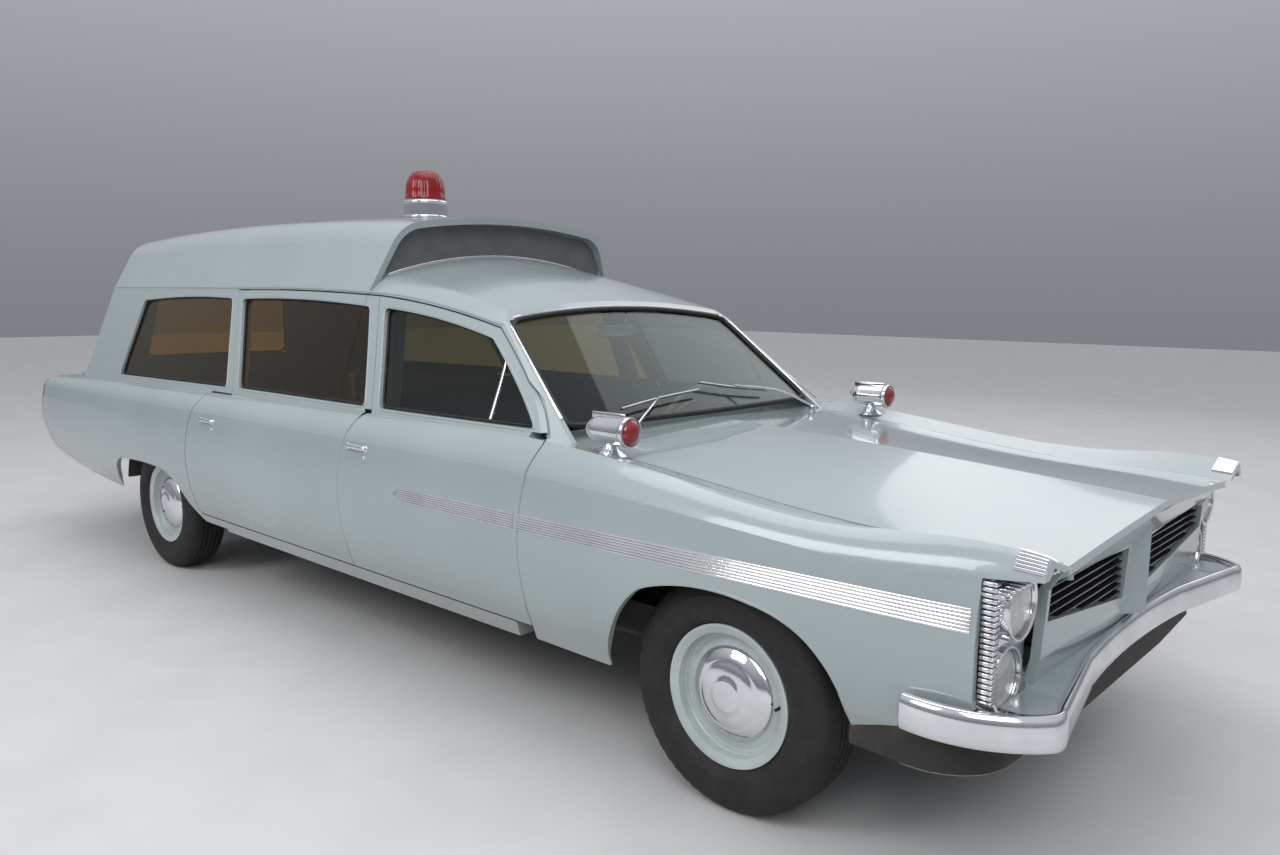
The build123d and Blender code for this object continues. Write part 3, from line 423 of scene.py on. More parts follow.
def turned(profile, place, axis="Y", sign=1, steps=64):
    # Ring or dish: a row of (along, radius) points drawn by extruding, then spun
    bpy.ops.object.select_all(action="DESELECT")
    bpy.ops.mesh.primitive_plane_add(size=0.01)
    piece = bpy.context.object
    rows = [Vector((radius, along * sign, 0)) for along, radius in profile]
    bpy.ops.object.mode_set(mode="EDIT")
    bpy.ops.mesh.select_all(action="SELECT")
    bpy.ops.mesh.merge(type="CENTER")
    bpy.ops.transform.translate(value=rows[0])
    for before, after in zip(rows, rows[1:]):
        bpy.ops.mesh.extrude_region_move(TRANSFORM_OT_translate={"value": after - before})
    bpy.ops.mesh.select_all(action="SELECT")
    bpy.ops.mesh.spin(steps=steps, angle=math.tau, center=(0, 0, 0), axis=(0, 1, 0), use_auto_merge=False)
    bpy.ops.object.mode_set(mode="OBJECT")
    outwards(piece)
    turn = {"Y": Matrix.Identity(4), "X": Matrix.Rotation(-math.pi / 2, 4, "Z"),
            "Z": Matrix.Rotation(math.pi / 2, 4, "X")}[axis]
    piece.data.transform(Matrix.Translation(place) @ turn)
    return piece


def hit(nodes, start, way):
    # First point of the CAD surface along a line, and its outward direction
    start, way = Vector(start), Vector(way)
    best = None
    for name in nodes:
        found, place, normal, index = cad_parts[name].ray_cast(start, way)
        if found and (best is None or (place - start).length < (best[0] - start).length):
            best = (place, normal if normal.dot(way) < 0 else -normal)
    return best


def onSide(nodes, x, z, sign, lift=0.0):
    # Point on the vehicle's side, raised by lift; a line that misses is tried a little to each side
    for slip in (0, -0.005, 0.005, -0.012, 0.012, -0.02, 0.02, -0.03, 0.03):
        found = hit(nodes, (x + slip, 1.3 * sign, z), (0, -sign, 0))
        if found:
            return found[0] + found[1] * lift - Vector((slip, 0, 0))
    return None


def lifted(nodes, start, way, lift):
    found = hit(nodes, start, way)
    return found[0] + found[1] * lift if found else None


def onFront(nodes, y, z, lift=0.0):
    return lifted(nodes, (3.6, y, z), (-1, 0, 0), lift)


def onTop(nodes, x, y, lift=0.0):
    return lifted(nodes, (x, y, 2.4), (0, 0, -1), lift)


def onTail(nodes, y, z, lift=0.0):
    return lifted(nodes, (-3.5, y, z), (1, 0, 0), lift)


def drape(rows, thickness, groove=None):
    # Sheet over rows of points, given a thickness; groove marks the dark rows of faces
    bpy.ops.object.select_all(action="DESELECT")
    wide, high = len(rows[0]), len(rows)
    bpy.ops.mesh.primitive_grid_add(x_subdivisions=wide - 1, y_subdivisions=high - 1, size=1)
    piece = bpy.context.object
    flat = [value for row in rows for place in row for value in place]
    piece.data.vertices.foreach_set("co", flat)
    if groove:
        for number, face in enumerate(piece.data.polygons):
            face.material_index = 1 if groove(number // (wide - 1)) else 0
    piece.data.update()
    modifier = piece.modifiers.new("wall", "SOLIDIFY")
    modifier.thickness = thickness
    modifier.offset = -1
    return settle(piece)


def between(ends, share):
    return ends[0] + (ends[1] - ends[0]) * share


def arcPoints(first, via, last, count):
    # Even points of a shallow arc through three points
    bend = [2 * v - (a + b) / 2 for a, v, b in zip(first, via, last)]
    points = []
    for number in range(count):
        t = number / (count - 1)
        points.append([a * (1 - t) ** 2 + c * 2 * t * (1 - t) + b * t * t for a, c, b in zip(first, bend, last)])
    return points


def chained(arcs, count):
    # Points of arcs that follow one another
    return [point for arc in arcs for point in arcPoints(*arc, count)[:-1]] + [list(arcs[-1][2])]


def evened(points, step, rounds, closed=True):
    # The same line with evenly spaced points and softened corners
    ring = points + points[:1] if closed else points
    even = []
    for a, b in zip(ring, ring[1:]):
        count = max(1, round(math.dist(a, b) / step))
        even += [[p + (q - p) * n / count for p, q in zip(a, b)] for n in range(count)]
    if not closed:
        even.append(list(ring[-1]))
    last = len(even)
    for _ in range(rounds):
        soft = []
        for n, point in enumerate(even):
            if not closed and n in (0, last - 1):
                soft.append(point)
                continue
            before, after = even[n - 1], even[(n + 1) % last]
            soft.append([(a + b * 2 + c) / 4 for a, b, c in zip(before, point, after)])
        even = soft
    return even


def grown(points, amount):
    # A closed flat outline moved outwards
    middle = [sum(p[k] for p in points) / len(points) for k in (0, 1)]
    moved = []
    for n, point in enumerate(points):
        before, after = points[n - 1], points[(n + 1) % len(points)]
        along = Vector((after[0] - before[0], after[1] - before[1])).normalized()
        side = Vector((along[1], -along[0]))
        if side.dot(Vector((point[0] - middle[0], point[1] - middle[1]))) < 0:
            side = -side
        moved.append([point[0] + side[0] * amount, point[1] + side[1] * amount])
    return moved


# Side trim: a pointed spear of bright ribs on the door and the fender
trim = {"ribs": 7, "rise": 0.0017, "lift": 0.0009, "wall": 0.003, "columns": 46,
        "shape": (0.0, 0.75, 1.0, 0.75, 0.0), "pitch": 0.21, "narrow": 0.06, "taper": 0.6}
trimLengths = [
    {"name": "doorTrim", "node": "front_door", "x": (0.752, 1.41), "low": (0.703, 0.704), "high": (0.754, 0.757),
     "tip": 0.055},
    {"name": "fenderTrim", "node": "front_fender", "x": (1.426, 2.911), "low": (0.704, 0.708),
     "high": (0.757, 0.767), "tip": 0.0},
]


def addTrim(length, sideName, sign):
    node = f"{length['node']}_{sideName}"
    body = node if length["node"] == "front_door" else "body"
    steps, columns = len(trim["shape"]), trim["columns"]
    rows = []
    for number in range(trim["ribs"] * steps):
        rib, step = divmod(number, steps)
        share = (rib + step * trim["pitch"]) / (trim["ribs"] - 1 + (steps - 1) * trim["pitch"])
        row = []
        for column in range(columns + 1):
            along = column / columns
            x, low, high = (between(length[key], along) for key in ("x", "low", "high"))
            point = min(1.0, (x - length["x"][0]) / length["tip"]) if length["tip"] else 1.0
            middle = (low + high) / 2
            z = middle + (between((low, high), share) - middle) * max(trim["narrow"], point ** trim["taper"])
            row.append(onSide([node], x, z, sign, trim["lift"] + trim["rise"] * trim["shape"][step]))
        rows.append(row[::-1] if sign > 0 else row)
    piece = drape(rows, trim["wall"], lambda row: row % steps == steps - 1)
    piece.data.materials.append(finish["chrome"])
    piece.data.materials.append(finish["darkPaint"])
    return bright(piece, f"{length['name']}_{sideName}", body)


for length in trimLengths:
    for sideName, sign in sides:
        addTrim(length, sideName, sign)
print("side trim")


# Window outlines in side view, as the openings are
windows = {
    "front": {"door": "front_door", "glass": "front_glass", "foot": [(1.34, 1.004), (0.472, 1.004)],
              "arc": ((0.326, 1.388), (0.62, 1.358), (0.968, 1.288))},
    "rear": {"door": "rear_door", "glass": "rear_glass", "foot": [(0.372, 1.004), (-0.672, 1.004)],
             "arc": ((-0.854, 1.412), (-0.32, 1.416), (0.222, 1.392))},
    "quarter": {"door": "quarter", "glass": "quarter_glass", "foot": [(-0.79, 1.0), (-2.06, 0.985)],
                "arc": ((-1.995, 1.392), (-1.5, 1.416), (-0.962, 1.414))},
}
frames = {"step": 0.022, "arc": 12, "rim": 0.0034, "rimOut": 0.006, "rimLift": -0.001,
          "seal": 0.005, "sealOut": -0.004, "sealLift": 0.003}


def addWindowFrame(key, window, sideName, sign):
    outline = evened([list(p) for p in window["foot"]] + arcPoints(*window["arc"], frames["arc"]), frames["step"], 2)
    outer = window["door"] + "_" + sideName
    glass = window["glass"] if key == "quarter" else f"{window['glass']}_{sideName}"
    body = "body" if key == "quarter" else outer
    rim = [onSide([outer], x, z, sign, frames["rimLift"]) for x, z in grown(outline, frames["rimOut"])]
    seal = [onSide([glass], x, z, sign, frames["sealLift"]) for x, z in grown(outline, frames["sealOut"])]
    hand(bead(rim, frames["rim"], True), f"{key}WindowTrim_{sideName}", body, "paint", 60)
    hand(bead(seal, frames["seal"], True, 1), f"{key}WindowSeal_{sideName}", body, "rubber", 60)


for key, window in windows.items():
    for sideName, sign in sides:
        addWindowFrame(key, window, sideName, sign)

# Vent window bar in each front door
ventBar = {"foot": (1.098, 1.012), "head": (1.046, 1.262), "radius": 0.0065}
for sideName, sign in sides:
    ends = [ventBar["foot"], ventBar["head"]]
    points = [onSide([f"front_glass_{sideName}"], x, z, sign, 0.002) for x, z in evened(ends, 0.03, 0, False)]
    piece = bead(points, ventBar["radius"])
    bright(piece, f"ventBar_{sideName}", f"front_door_{sideName}", 60)

# Windshield and tail glass
shield = {"low": 1.0, "halfLow": 0.734, "high": 1.35, "halfHigh": 0.638, "crown": 1.393,
          "seal": 0.01, "sealOut": -0.004, "trim": 0.006, "trimOut": 0.01}
shieldLine = [[-shield["halfLow"], shield["low"]], [shield["halfLow"], shield["low"]]] + arcPoints(
    (shield["halfHigh"], shield["high"]), (0, shield["crown"]), (-shield["halfHigh"], shield["high"]), 14)
shieldLine = evened(shieldLine, 0.03, 2)
seal = [onFront(["windshield"], y, z, 0.004) for y, z in grown(shieldLine, shield["sealOut"])]
hand(bead(seal, shield["seal"], True), "windshieldSeal", "body", "rubber", 60)
upper = [p for p in grown(shieldLine, shield["trimOut"]) if p[1] > shield["low"] + 0.02]
gap = max(range(len(upper)), key=lambda n: math.dist(upper[n - 1], upper[n]))
upper = upper[gap:] + upper[:gap]
bright(bead([onFront(["roof"], y, z) for y, z in upper], shield["trim"]), "windshieldTrim", "body", 60)

tailLine = evened([[-0.47, 1.03], [0.47, 1.03], [0.408, 1.5], [-0.408, 1.5]], 0.03, 3)
tailFrame = {"seal": 0.006, "sealOut": -0.004, "sealLift": 0.003, "rim": 0.0055, "rimOut": 0.009, "rimLift": -0.001}
seal = [onTail(["loading_glass"], y, z, tailFrame["sealLift"]) for y, z in grown(tailLine, tailFrame["sealOut"])]
hand(bead(seal, tailFrame["seal"], True), "tailSeal", "loading_door", "rubber", 60)
rim = [onTail(["loading_door"], y, z, tailFrame["rimLift"]) for y, z in grown(tailLine, tailFrame["rimOut"])]
bright(bead(rim, tailFrame["rim"], True), "tailTrim", "loading_door", 60)
print("window frames")

# Drip rails over the doors and along the raised roof
dripLines = {"bow": [((0.984, 1.324), (0.62, 1.396), (0.268, 1.434)),
                     ((0.268, 1.434), (-0.32, 1.452), (-0.912, 1.452))],
             "end": (-2.46, 1.452), "up": 0.014, "radius": 0.0042}
for sideName, sign in sides:
    line = arcPoints(*dripLines["bow"][0], 12) + arcPoints(*dripLines["bow"][1], 14)[1:]
    line = evened(line + [list(dripLines["end"])], 0.04, 1, False)
    points = [onSide(["roof", f"quarter_{sideName}"], x, z + dripLines["up"], sign, 0.001) for x, z in line]
    hand(bead(points, dripLines["radius"]), f"dripRail_{sideName}", "body", "paint", 60)

# Brow of the raised roof: a dark sheet on its wall, painted shade for the shadow in the recess under its lip, and a
# bright bead at the wall's foot
brow = {"wall": 0.185, "half": 0.625, "columns": 32, "rows": 5, "radius": 0.0055, "ray": 0.008, "foot": 0.01,
        "skin": 0.0035, "gap": 0.002, "level": 1.69, "bow": 0.19, "shoulder": 0.5, "fall": 0.5}
walls, feet = [], []
for n in range(brow["columns"] + 1):
    y = brow["half"] * (2 * n / brow["columns"] - 1)
    middle = brow["level"] - brow["bow"] * y * y - brow["fall"] * max(0.0, abs(y) - brow["shoulder"])
    low, high = (hit(["roof"], (brow["wall"] + brow["ray"], y, middle), (0, 0, way))[0].z for way in (-1, 1))
    feet.append(Vector((brow["wall"] + brow["foot"], y, low + brow["gap"] / 2)))
    ends = (low + brow["gap"], high - brow["gap"])
    walls.append([Vector((brow["wall"] + brow["skin"], y, between(ends, r / brow["rows"])))
                  for r in range(brow["rows"] + 1)])
# The sheet's dark paint is painted shade for the shadow under the brow's lip
piece = drape([list(row) for row in zip(*walls)], 0.003)
hand(piece, "browPaintedShadeWall", "body", "browPaintedShade")
bright(bead(feet, brow["radius"]), "browBead", "body", 60)
print("rails")

# Outside door handles
handles = {"front_door": (0.493, 0.865), "rear_door": (-0.766, 0.851)}
handle = {"half": 0.066, "bar": 0.0068, "pad": 0.0135, "padDepth": 0.007, "padAt": 0.95, "key": 0.009,
          "keyDepth": 0.008, "keyAt": 0.9, "keyDrop": 0.034, "tall": 1.5,
          "bow": [(-1.0, 0.001), (-0.86, 0.0065), (-0.4, 0.0085), (0.4, 0.0085), (0.86, 0.0065), (1.0, 0.001)]}
for door, (x, z) in handles.items():
    for sideName, sign in sides:
        node = f"{door}_{sideName}"
        bar = tube([onSide([node], x + handle["half"] * s, z, sign, lift) for s, lift in handle["bow"]], handle["bar"])
        for vertex in bar.data.vertices:
            vertex.co.z = z + (vertex.co.z - z) * handle["tall"]
        pads = [drum(onSide([node], x + handle["half"] * s, z, sign, 0.001), handle["pad"], handle["padDepth"], "Y")
                for s in (-handle["padAt"], handle["padAt"])]
        button = drum(onSide([node], x + handle["half"] * handle["keyAt"], z - handle["keyDrop"], sign, 0.002),
                      handle["key"], handle["keyDepth"], "Y", 24)
        bright(join([bar] + pads + [button]), f"{door}Handle_{sideName}", node)
print("handles")

# Headlamps: crowned lens and bright ring, one lamp above the other
lampRows = ((2.966, 0.758), (2.94, 0.576))
lamp = {"y": 0.822, "sink": 0.0025, "lens": 0.0715, "crown": 0.012, "crownStart": 0.003, "rounds": 7,
        "ring": [(0.01, 0.0835), (0.016, 0.0825), (0.0185, 0.0785), (0.0165, 0.0745), (0.006, 0.0721),
                 (0.0, 0.0721), (0.0, 0.0835), (0.01, 0.0835)], "ringSink": 0.002}
for sideName, sign in sides:
    for number, (x, z) in enumerate(lampRows):
        angles = [math.pi / 2 * n / lamp["rounds"] for n in range(lamp["rounds"], -1, -1)]
        dish = [(lamp["crownStart"] + lamp["crown"] * math.cos(a), lamp["lens"] * math.sin(a)) for a in angles]
        piece = turned([(0, lamp["lens"])] + dish, (x - lamp["sink"], sign * lamp["y"], z), "X")
        hand(piece, f"lampLens{number}_{sideName}", "body", "clearLens", 60)
        piece = turned(lamp["ring"], (x - lamp["ringSink"], sign * lamp["y"], z), "X")
        bright(piece, f"lampRing{number}_{sideName}", "body", 60)

# Ribbed bright brow over each pair of lamps, and the ribbed strip beside them
lampEdge = {"count": 15, "x": (3.045, 2.978), "y": (0.76, 0.926), "z": (0.846, 0.8), "xBend": 1.5, "zBend": 1.8,
            "radius": 0.0054, "length": 0.06}
lampStrip = {"x": (2.928, 2.962), "y": (0.903, 0.932), "z": (0.55, 0.826), "count": 22, "half": 0.0052}
lampFiller = {"x": (2.905, 2.943), "y": (0.7, 0.757), "z": (0.545, 0.846)}
for sideName, sign in sides:
    ribs = []
    for number in range(lampEdge["count"]):
        share = number / (lampEdge["count"] - 1)
        place = (between(lampEdge["x"], share ** lampEdge["xBend"]) - lampEdge["length"] / 2,
                 sign * between(lampEdge["y"], share), between(lampEdge["z"], share ** lampEdge["zBend"]))
        ribs.append(drum(place, lampEdge["radius"], lampEdge["length"], "X", 14, 0.003))
    for number in range(lampStrip["count"]):
        z, half = between(lampStrip["z"], number / (lampStrip["count"] - 1)), lampStrip["half"]
        ribs.append(sideBox(sign, lampStrip["x"], lampStrip["y"], (z - half, z + half), 0.003, 2))
    bright(join(ribs), f"lampEdgeRibs_{sideName}")
    filler = sideBox(sign, lampFiller["x"], lampFiller["y"], lampFiller["z"], 0.006)
    hand(filler, f"lampFiller_{sideName}", "body", "paint")

# Ribbed bright cap over the tip of each fender, above the lamps
browRibs = {"core": (0.83, 0.8), "turn": (-24, 50), "count": 17, "radius": 0.0044, "lift": 0.0018, "reach": 0.3,
            "near": (0.02, 0.15), "front": 3.075, "rear": 2.93, "step": 0.003,
            "back": (0.002, 0.01, 0.019, 0.029, 0.04, 0.052, 0.065)}
for sideName, sign in sides:
    node, ribs = f"front_fender_{sideName}", []
    for number in range(browRibs["count"]):
        angle = math.radians(between(browRibs["turn"], number / (browRibs["count"] - 1)))
        ray = Vector((0, sign * math.sin(angle), math.cos(angle)))

        def skin(x):
            core = Vector((x, sign * browRibs["core"][0], browRibs["core"][1]))
            found = hit([node], core + ray * browRibs["reach"], -ray)
            low, high = browRibs["near"]
            near = found and low < (found[0] - core).length < high
            return found[0] + found[1] * browRibs["lift"] if near else None

        front = browRibs["front"]
        while front > browRibs["rear"] and not skin(front):
            front -= browRibs["step"]
        line = [skin(front - back) for back in browRibs["back"]]
        if all(line):
            ribs.append(tube(line, browRibs["radius"], straight=True))
    bright(join(ribs), f"browRibs_{sideName}")
print("headlamps")

# Grille blades, each with a bright front edge
blades = {"first": 0.632, "last": 0.792, "step": 0.022, "x": (2.975, 2.98), "thick": (-0.0004, 0.0046),
          "y": (0.104, 0.686), "lowEdge": (0.621, 0.694, 0.073), "highEdge": (0.762, 0.758, 0.032), "least": 0.03}
for sideName, sign in sides:
    bars = []
    z = blades["first"]
    while z < blades["last"]:
        inner, outer = blades["y"]
        span = outer - inner
        foot, limit, drop = blades["lowEdge"]
        if z < limit:
            outer = min(outer, blades["y"][0] + (z - foot) / drop * span)
        limit, foot, drop = blades["highEdge"]
        if z > limit:
            inner = max(inner, blades["y"][0] + (z - foot) / drop * span)
        if outer - inner > blades["least"]:
            low, high = blades["thick"]
            bars.append(sideBox(sign, blades["x"], (inner, outer), (z + low, z + high), 0.0012, 2))
        z += blades["step"]
    hand(join(bars), f"grilleEdges_{sideName}", "body", "smokedChrome", 40)
print("grille")

# Front bumper: a pressed bar with rolled edges, its pan up to the nose and a dark valance
bumper = {
    "plan": [((2.772, 0.992), (2.985, 0.962), (3.092, 0.872)), ((3.092, 0.872), (3.1, 0.845), (3.094, 0.81)),
             ((3.094, 0.81), (3.058, 0.615), (3.022, 0.42)), ((3.022, 0.42), (3.006, 0.21), (3.0, 0.0))],
    "section": [(0.025, 0.464), (0.015, 0.457), (0.006, 0.458), (0.0015, 0.466), (0.0002, 0.48),
                (0.0002, 0.5), (0.0008, 0.516), (0.003, 0.529), (0.0085, 0.539), (0.016, 0.5432),
                (0.025, 0.542)],
    "wall": 0.004}
pan = {"half": 0.9, "start": 0.022, "shares": (0.0, 0.33, 0.66, 1.0), "lamps": (0.7, 0.03), "rear": 2.952,
       "rearSet": 0.01, "z": 0.531, "climb": 0.012}


def wholePlan(plan, count):
    # Right half of a plan line in arcs, mirrored to both halves
    half = chained(plan, count)
    return [[x, -y] for x, y in half] + [[x, y] for x, y in half[::-1][1:]]


bars, panFront = [], []
for x, y in evened(wholePlan(bumper["plan"], 10), 0.016, 1, False):
    found, place, normal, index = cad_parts["front_bumper"].closest_point_on_mesh((x, y, 0.5))
    inward = Vector((-normal.x, -normal.y, 0)).normalized()
    bars.append([Vector((place.x, place.y, 0)) + inward * depth + Vector((0, 0, z)) for depth, z in bumper["section"]])
    if abs(y) < pan["half"]:
        panFront.append(place + inward * pan["start"])
piece = drape([list(row) for row in zip(*bars)], bumper["wall"])
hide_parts("front_bumper")
bright(piece, "frontBumperBar", "body", 45)
panRows = []
for share in pan["shares"]:
    row = []
    for p in panFront:
        beside = min(1.0, max(0.0, (abs(p.y) - pan["lamps"][0]) / pan["lamps"][1]))
        rear = pan["rear"] + pan["rearSet"] * beside
        row.append(Vector((between((p.x, rear), share), p.y, pan["z"] + pan["climb"] * share * (1 - beside))))
    panRows.append(row)
hand(drape(panRows, 0.003), "nosePan", "body", "paint")
valance = {"plan": [((2.61, 0.928), (2.69, 0.934), (2.76, 0.938)), ((2.76, 0.938), (2.9, 0.89), (2.95, 0.76)),
                    ((2.95, 0.76), (2.96, 0.58), (2.965, 0.4)), ((2.965, 0.4), (2.965, 0.2), (2.965, 0.0))],
           "z": (0.3505, 0.376, 0.4, 0.424, 0.447), "lift": 0.0022, "reach": 0.12, "near": 0.06}
valancePlan = wholePlan(valance["plan"], 12)
rows = []
for z in valance["z"]:
    row = []
    for n, (x, y) in enumerate(valancePlan):
        before, after = valancePlan[max(0, n - 1)], valancePlan[min(len(valancePlan) - 1, n + 1)]
        outward = Vector((after[1] - before[1], before[0] - after[0], 0)).normalized()
        place = Vector((x, y, z))
        found = hit(["nose_panel"], place + outward * valance["reach"], -outward)
        if found and (found[0] - place).length < valance["near"]:
            place = found[0]
        row.append(place + outward * valance["lift"])
    rows.append(row)
hand(drape(rows, 0.0015), "valanceSkin", "body", "under")
print("bumper")

# Rolled lips of the wheel arches
archLines = {
    "front_fender": {"axle": 2.2, "arcs": [((-0.414, 0.33), (-0.408, 0.4), (-0.373, 0.48)),
                                           ((-0.373, 0.48), (-0.322, 0.56), (-0.255, 0.618)),
                                           ((-0.255, 0.618), (-0.07, 0.661), (0.132, 0.653)),
                                           ((0.132, 0.653), (0.29, 0.6), (0.384, 0.494)),
                                           ((0.384, 0.494), (0.412, 0.435), (0.425, 0.372))]},
    "quarter": {"axle": -1.49, "arcs": [((-0.446, 0.43), (-0.395, 0.528), (-0.25, 0.56)),
                                        ((-0.25, 0.56), (-0.01, 0.569), (0.19, 0.563)),
                                        ((0.19, 0.563), (0.33, 0.515), (0.44, 0.42)),
                                        ((0.44, 0.42), (0.522, 0.366), (0.62, 0.326))]}}
archLip = {"radius": 0.0062, "lift": -0.005, "up": 0.005, "step": 0.02, "least": 0.85}
for node, arch in archLines.items():
    for sideName, sign in sides:
        line = [[x + arch["axle"], z + archLip["up"]] for x, z in chained(arch["arcs"], 9)]
        line = evened(line, archLip["step"], 1, False)
        points = [onSide([f"{node}_{sideName}"], x, z, sign, archLip["lift"]) for x, z in line]
        piece = bead([p for p in points if p and abs(p.y) > archLip["least"]], archLip["radius"])
        hand(piece, f"archLip_{node}_{sideName}", "body", "paint", 60)

# Bright band down the tail edge of each quarter panel
tailEdge = {"line": ((-3.056, 0.902), (-3.078, 0.79), (-3.096, 0.672)), "rows": 12, "columns": 6, "start": 0.003,
            "step": 0.0085, "lift": 0.0015}
for sideName, sign in sides:
    rows = []
    for x, z in arcPoints(*tailEdge["line"], tailEdge["rows"])[::-1]:
        row = [onSide([f"quarter_{sideName}"], x + tailEdge["start"] + tailEdge["step"] * n, z, sign, tailEdge["lift"])
               for n in range(tailEdge["columns"])]
        rows.append(row[::-1] if sign > 0 else row)
    bright(drape(rows, 0.002), f"tailBand_{sideName}")
print("arches and tail bands")

# Fender lamps: bright foot, rim and fin, and a red lens facing forward
cornerLamp = {
    "x": 1.665, "y": 0.808, "z": 1.03, "sink": 0.004, "fin": ((-0.08, 0.062), 0.004, (0.034, 0.056)),
    "lens": [(0.081, 0), (0.081, 0.043), (0.086, 0.0425), (0.0865, 0.04), (0.092, 0.037), (0.1, 0.026),
             (0.104, 0.012), (0.1045, 0)],
    "rim": [(0.066, 0.0462), (0.072, 0.049), (0.082, 0.0495), (0.087, 0.0475), (0.0875, 0.043), (0.066, 0.043),
            (0.066, 0.0462)],
    "foot": [(0, 0.0), (0, 0.052), (0.004, 0.052), (0.012, 0.04), (0.022, 0.027), (0.04, 0.02), (0.04, 0)]}
for sideName, sign in sides:
    place = x, y, z = cornerLamp["x"], sign * cornerLamp["y"], cornerLamp["z"]
    piece = turned(cornerLamp["lens"], place, "X", steps=48)
    hand(piece, f"cornerLampLens_{sideName}", "body", "redLens", 60)
    piece = turned(cornerLamp["rim"], place, "X", steps=48)
    (x0, x1), half, (z0, z1) = cornerLamp["fin"]
    fin = box((x + x0, y - half, z + z0), (x + x1, y + half, z + z1), 0.0035)
    ground = onTop([f"front_fender_{sideName}"], x, y).z
    bowl = turned(cornerLamp["foot"], (x, y, ground - cornerLamp["sink"]), "Z", sign=1, steps=40)
    bright(join([piece, fin, bowl]), f"cornerLampRim_{sideName}")

# Roof beacon: fluted red dome and the bright bands of its drum
beacon = {
    "x": -0.4, "flutes": 28, "depth": 0.0009, "core": 0.03, "fluteFoot": 1.92, "bands": (0.012, 1.892),
    "sink": 0.008,
    "dome": [(1.9053, 0.0), (1.9053, 0.0985), (1.916, 0.099), (1.922, 0.0965), (1.95, 0.0955), (1.985, 0.092),
             (2.012, 0.081), (2.034, 0.064), (2.045, 0.042), (2.0496, 0.02), (2.0498, 0.0)],
    "band": [(0, 0.1076), (0.003, 0.111), (0.008, 0.1122), (0.013, 0.111), (0.016, 0.1076), (0, 0.1076)]}
piece = turned(beacon["dome"], (beacon["x"], 0, 0), "Z", steps=168)
for vertex in piece.data.vertices:
    x, y, z = vertex.co.x - beacon["x"], vertex.co.y, vertex.co.z
    radius = math.hypot(x, y)
    if radius > beacon["core"] and z > beacon["fluteFoot"]:
        swell = 1 + beacon["depth"] * math.cos(math.atan2(y, x) * beacon["flutes"]) / radius
        vertex.co.x, vertex.co.y = beacon["x"] + x * swell, y * swell
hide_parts("beacon_dome")
hand(piece, "beaconDome", "body", "domeLens", 50)
ground = onTop(["roof"], beacon["x"], 0).z
bands = [turned(beacon["band"], (beacon["x"], 0, z - beacon["sink"]), "Z", steps=72)
         for z in (ground + beacon["bands"][0], beacon["bands"][1])]
bright(join(bands), "beaconBands")
print("lamps")

# Wheels: bright hubcap, valve, a fine line round the rim and the cut tread of the tyre
wheelPlaces = {"wheel_front": 2.2, "wheel_rear": -1.49}
axleZ = 0.342
track = 0.813
cap = [(0.045, 0.133), (0.045, 0.1358), (0.049, 0.1368), (0.0535, 0.1352), (0.059, 0.127), (0.064, 0.118),
       (0.0705, 0.1065), (0.0722, 0.101), (0.0728, 0.096), (0.076, 0.09), (0.0795, 0.077), (0.0822, 0.064),
       (0.084, 0.05), (0.0862, 0.046), (0.087, 0.042), (0.0876, 0.03), (0.0882, 0.014), (0.0882, 0.0)]
rimLine = [(0.044, 0.172), (0.048, 0.1735), (0.05, 0.1765), (0.048, 0.1795), (0.044, 0.18), (0.044, 0.172)]
tread = {"steps": 216, "lug": 4, "depth": 0.003, "grooves": (-0.034, -0.0115, 0.0115, 0.034), "grooveHalf": 0.0028,
         "grooveDepth": 0.0065, "crown": 0.342, "shoulder": 0.328, "across": 0.045}


def tyreProfile():
    side = [(0.074, 0.205), (0.08, 0.2085), (0.0905, 0.22), (0.0985, 0.236), (0.1, 0.24), (0.0998, 0.244),
            (0.1025, 0.256), (0.1025, 0.268), (0.1, 0.284), (0.1003, 0.287), (0.099, 0.29),
            (0.0945, 0.304), (0.088, 0.317), (0.079, 0.329), (0.07, 0.336), (0.058, 0.34)]
    crown = []
    for middle in sorted(tread["grooves"], reverse=True):
        half, crest = tread["grooveHalf"], tread["crown"]
        base = crest - tread["grooveDepth"]
        crown += [(middle + half, crest), (middle + half * 0.7, base), (middle - half * 0.7, base),
                  (middle - half, crest)]
    inner = [(-0.0675, 0.203), (-0.0675, 0.1885), (0.0675, 0.1885), (0.0675, 0.203), (0.074, 0.205)]
    return side + crown + [(-a, r) for a, r in reversed(side)] + inner


for end, x in wheelPlaces.items():
    for sideName, sign in sides:
        body = f"{end}_{sideName}"
        place = (x, sign * track, axleZ)
        piece = turned([(0.04, 0.0)] + cap, place, "Y", sign, 72)
        bright(piece, f"hubcap_{body}", body)
        piece = turned(rimLine, place, "Y", sign, 72)
        valve = drum((x + 0.155, sign * (track + 0.052), axleZ), 0.0045, 0.03, "Y", 14, 0.0015)
        hand(piece, f"rimLine_{body}", body, "wheelPaint", 50)
        hand(valve, f"valve_{body}", body, "rubber", 50)
        rubber = turned(tyreProfile(), place, "Y", sign, tread["steps"])
        for vertex in rubber.data.vertices:
            dx, dz = vertex.co.x - x, vertex.co.z - axleZ
            radius, across = math.hypot(dx, dz), abs(vertex.co.y - place[1])
            step = round(math.atan2(dz, dx) / math.tau * tread["steps"]) % tread["lug"]
            if radius > tread["shoulder"] and across > tread["across"] and step == 0:
                factor = (radius - tread["depth"]) / radius
                vertex.co.x, vertex.co.z = x + dx * factor, axleZ + dz * factor
        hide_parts(f"tyre_{body[6:]}")
        hand(rubber, f"tread_{body}", body, "tyre", 28)
print("wheels")

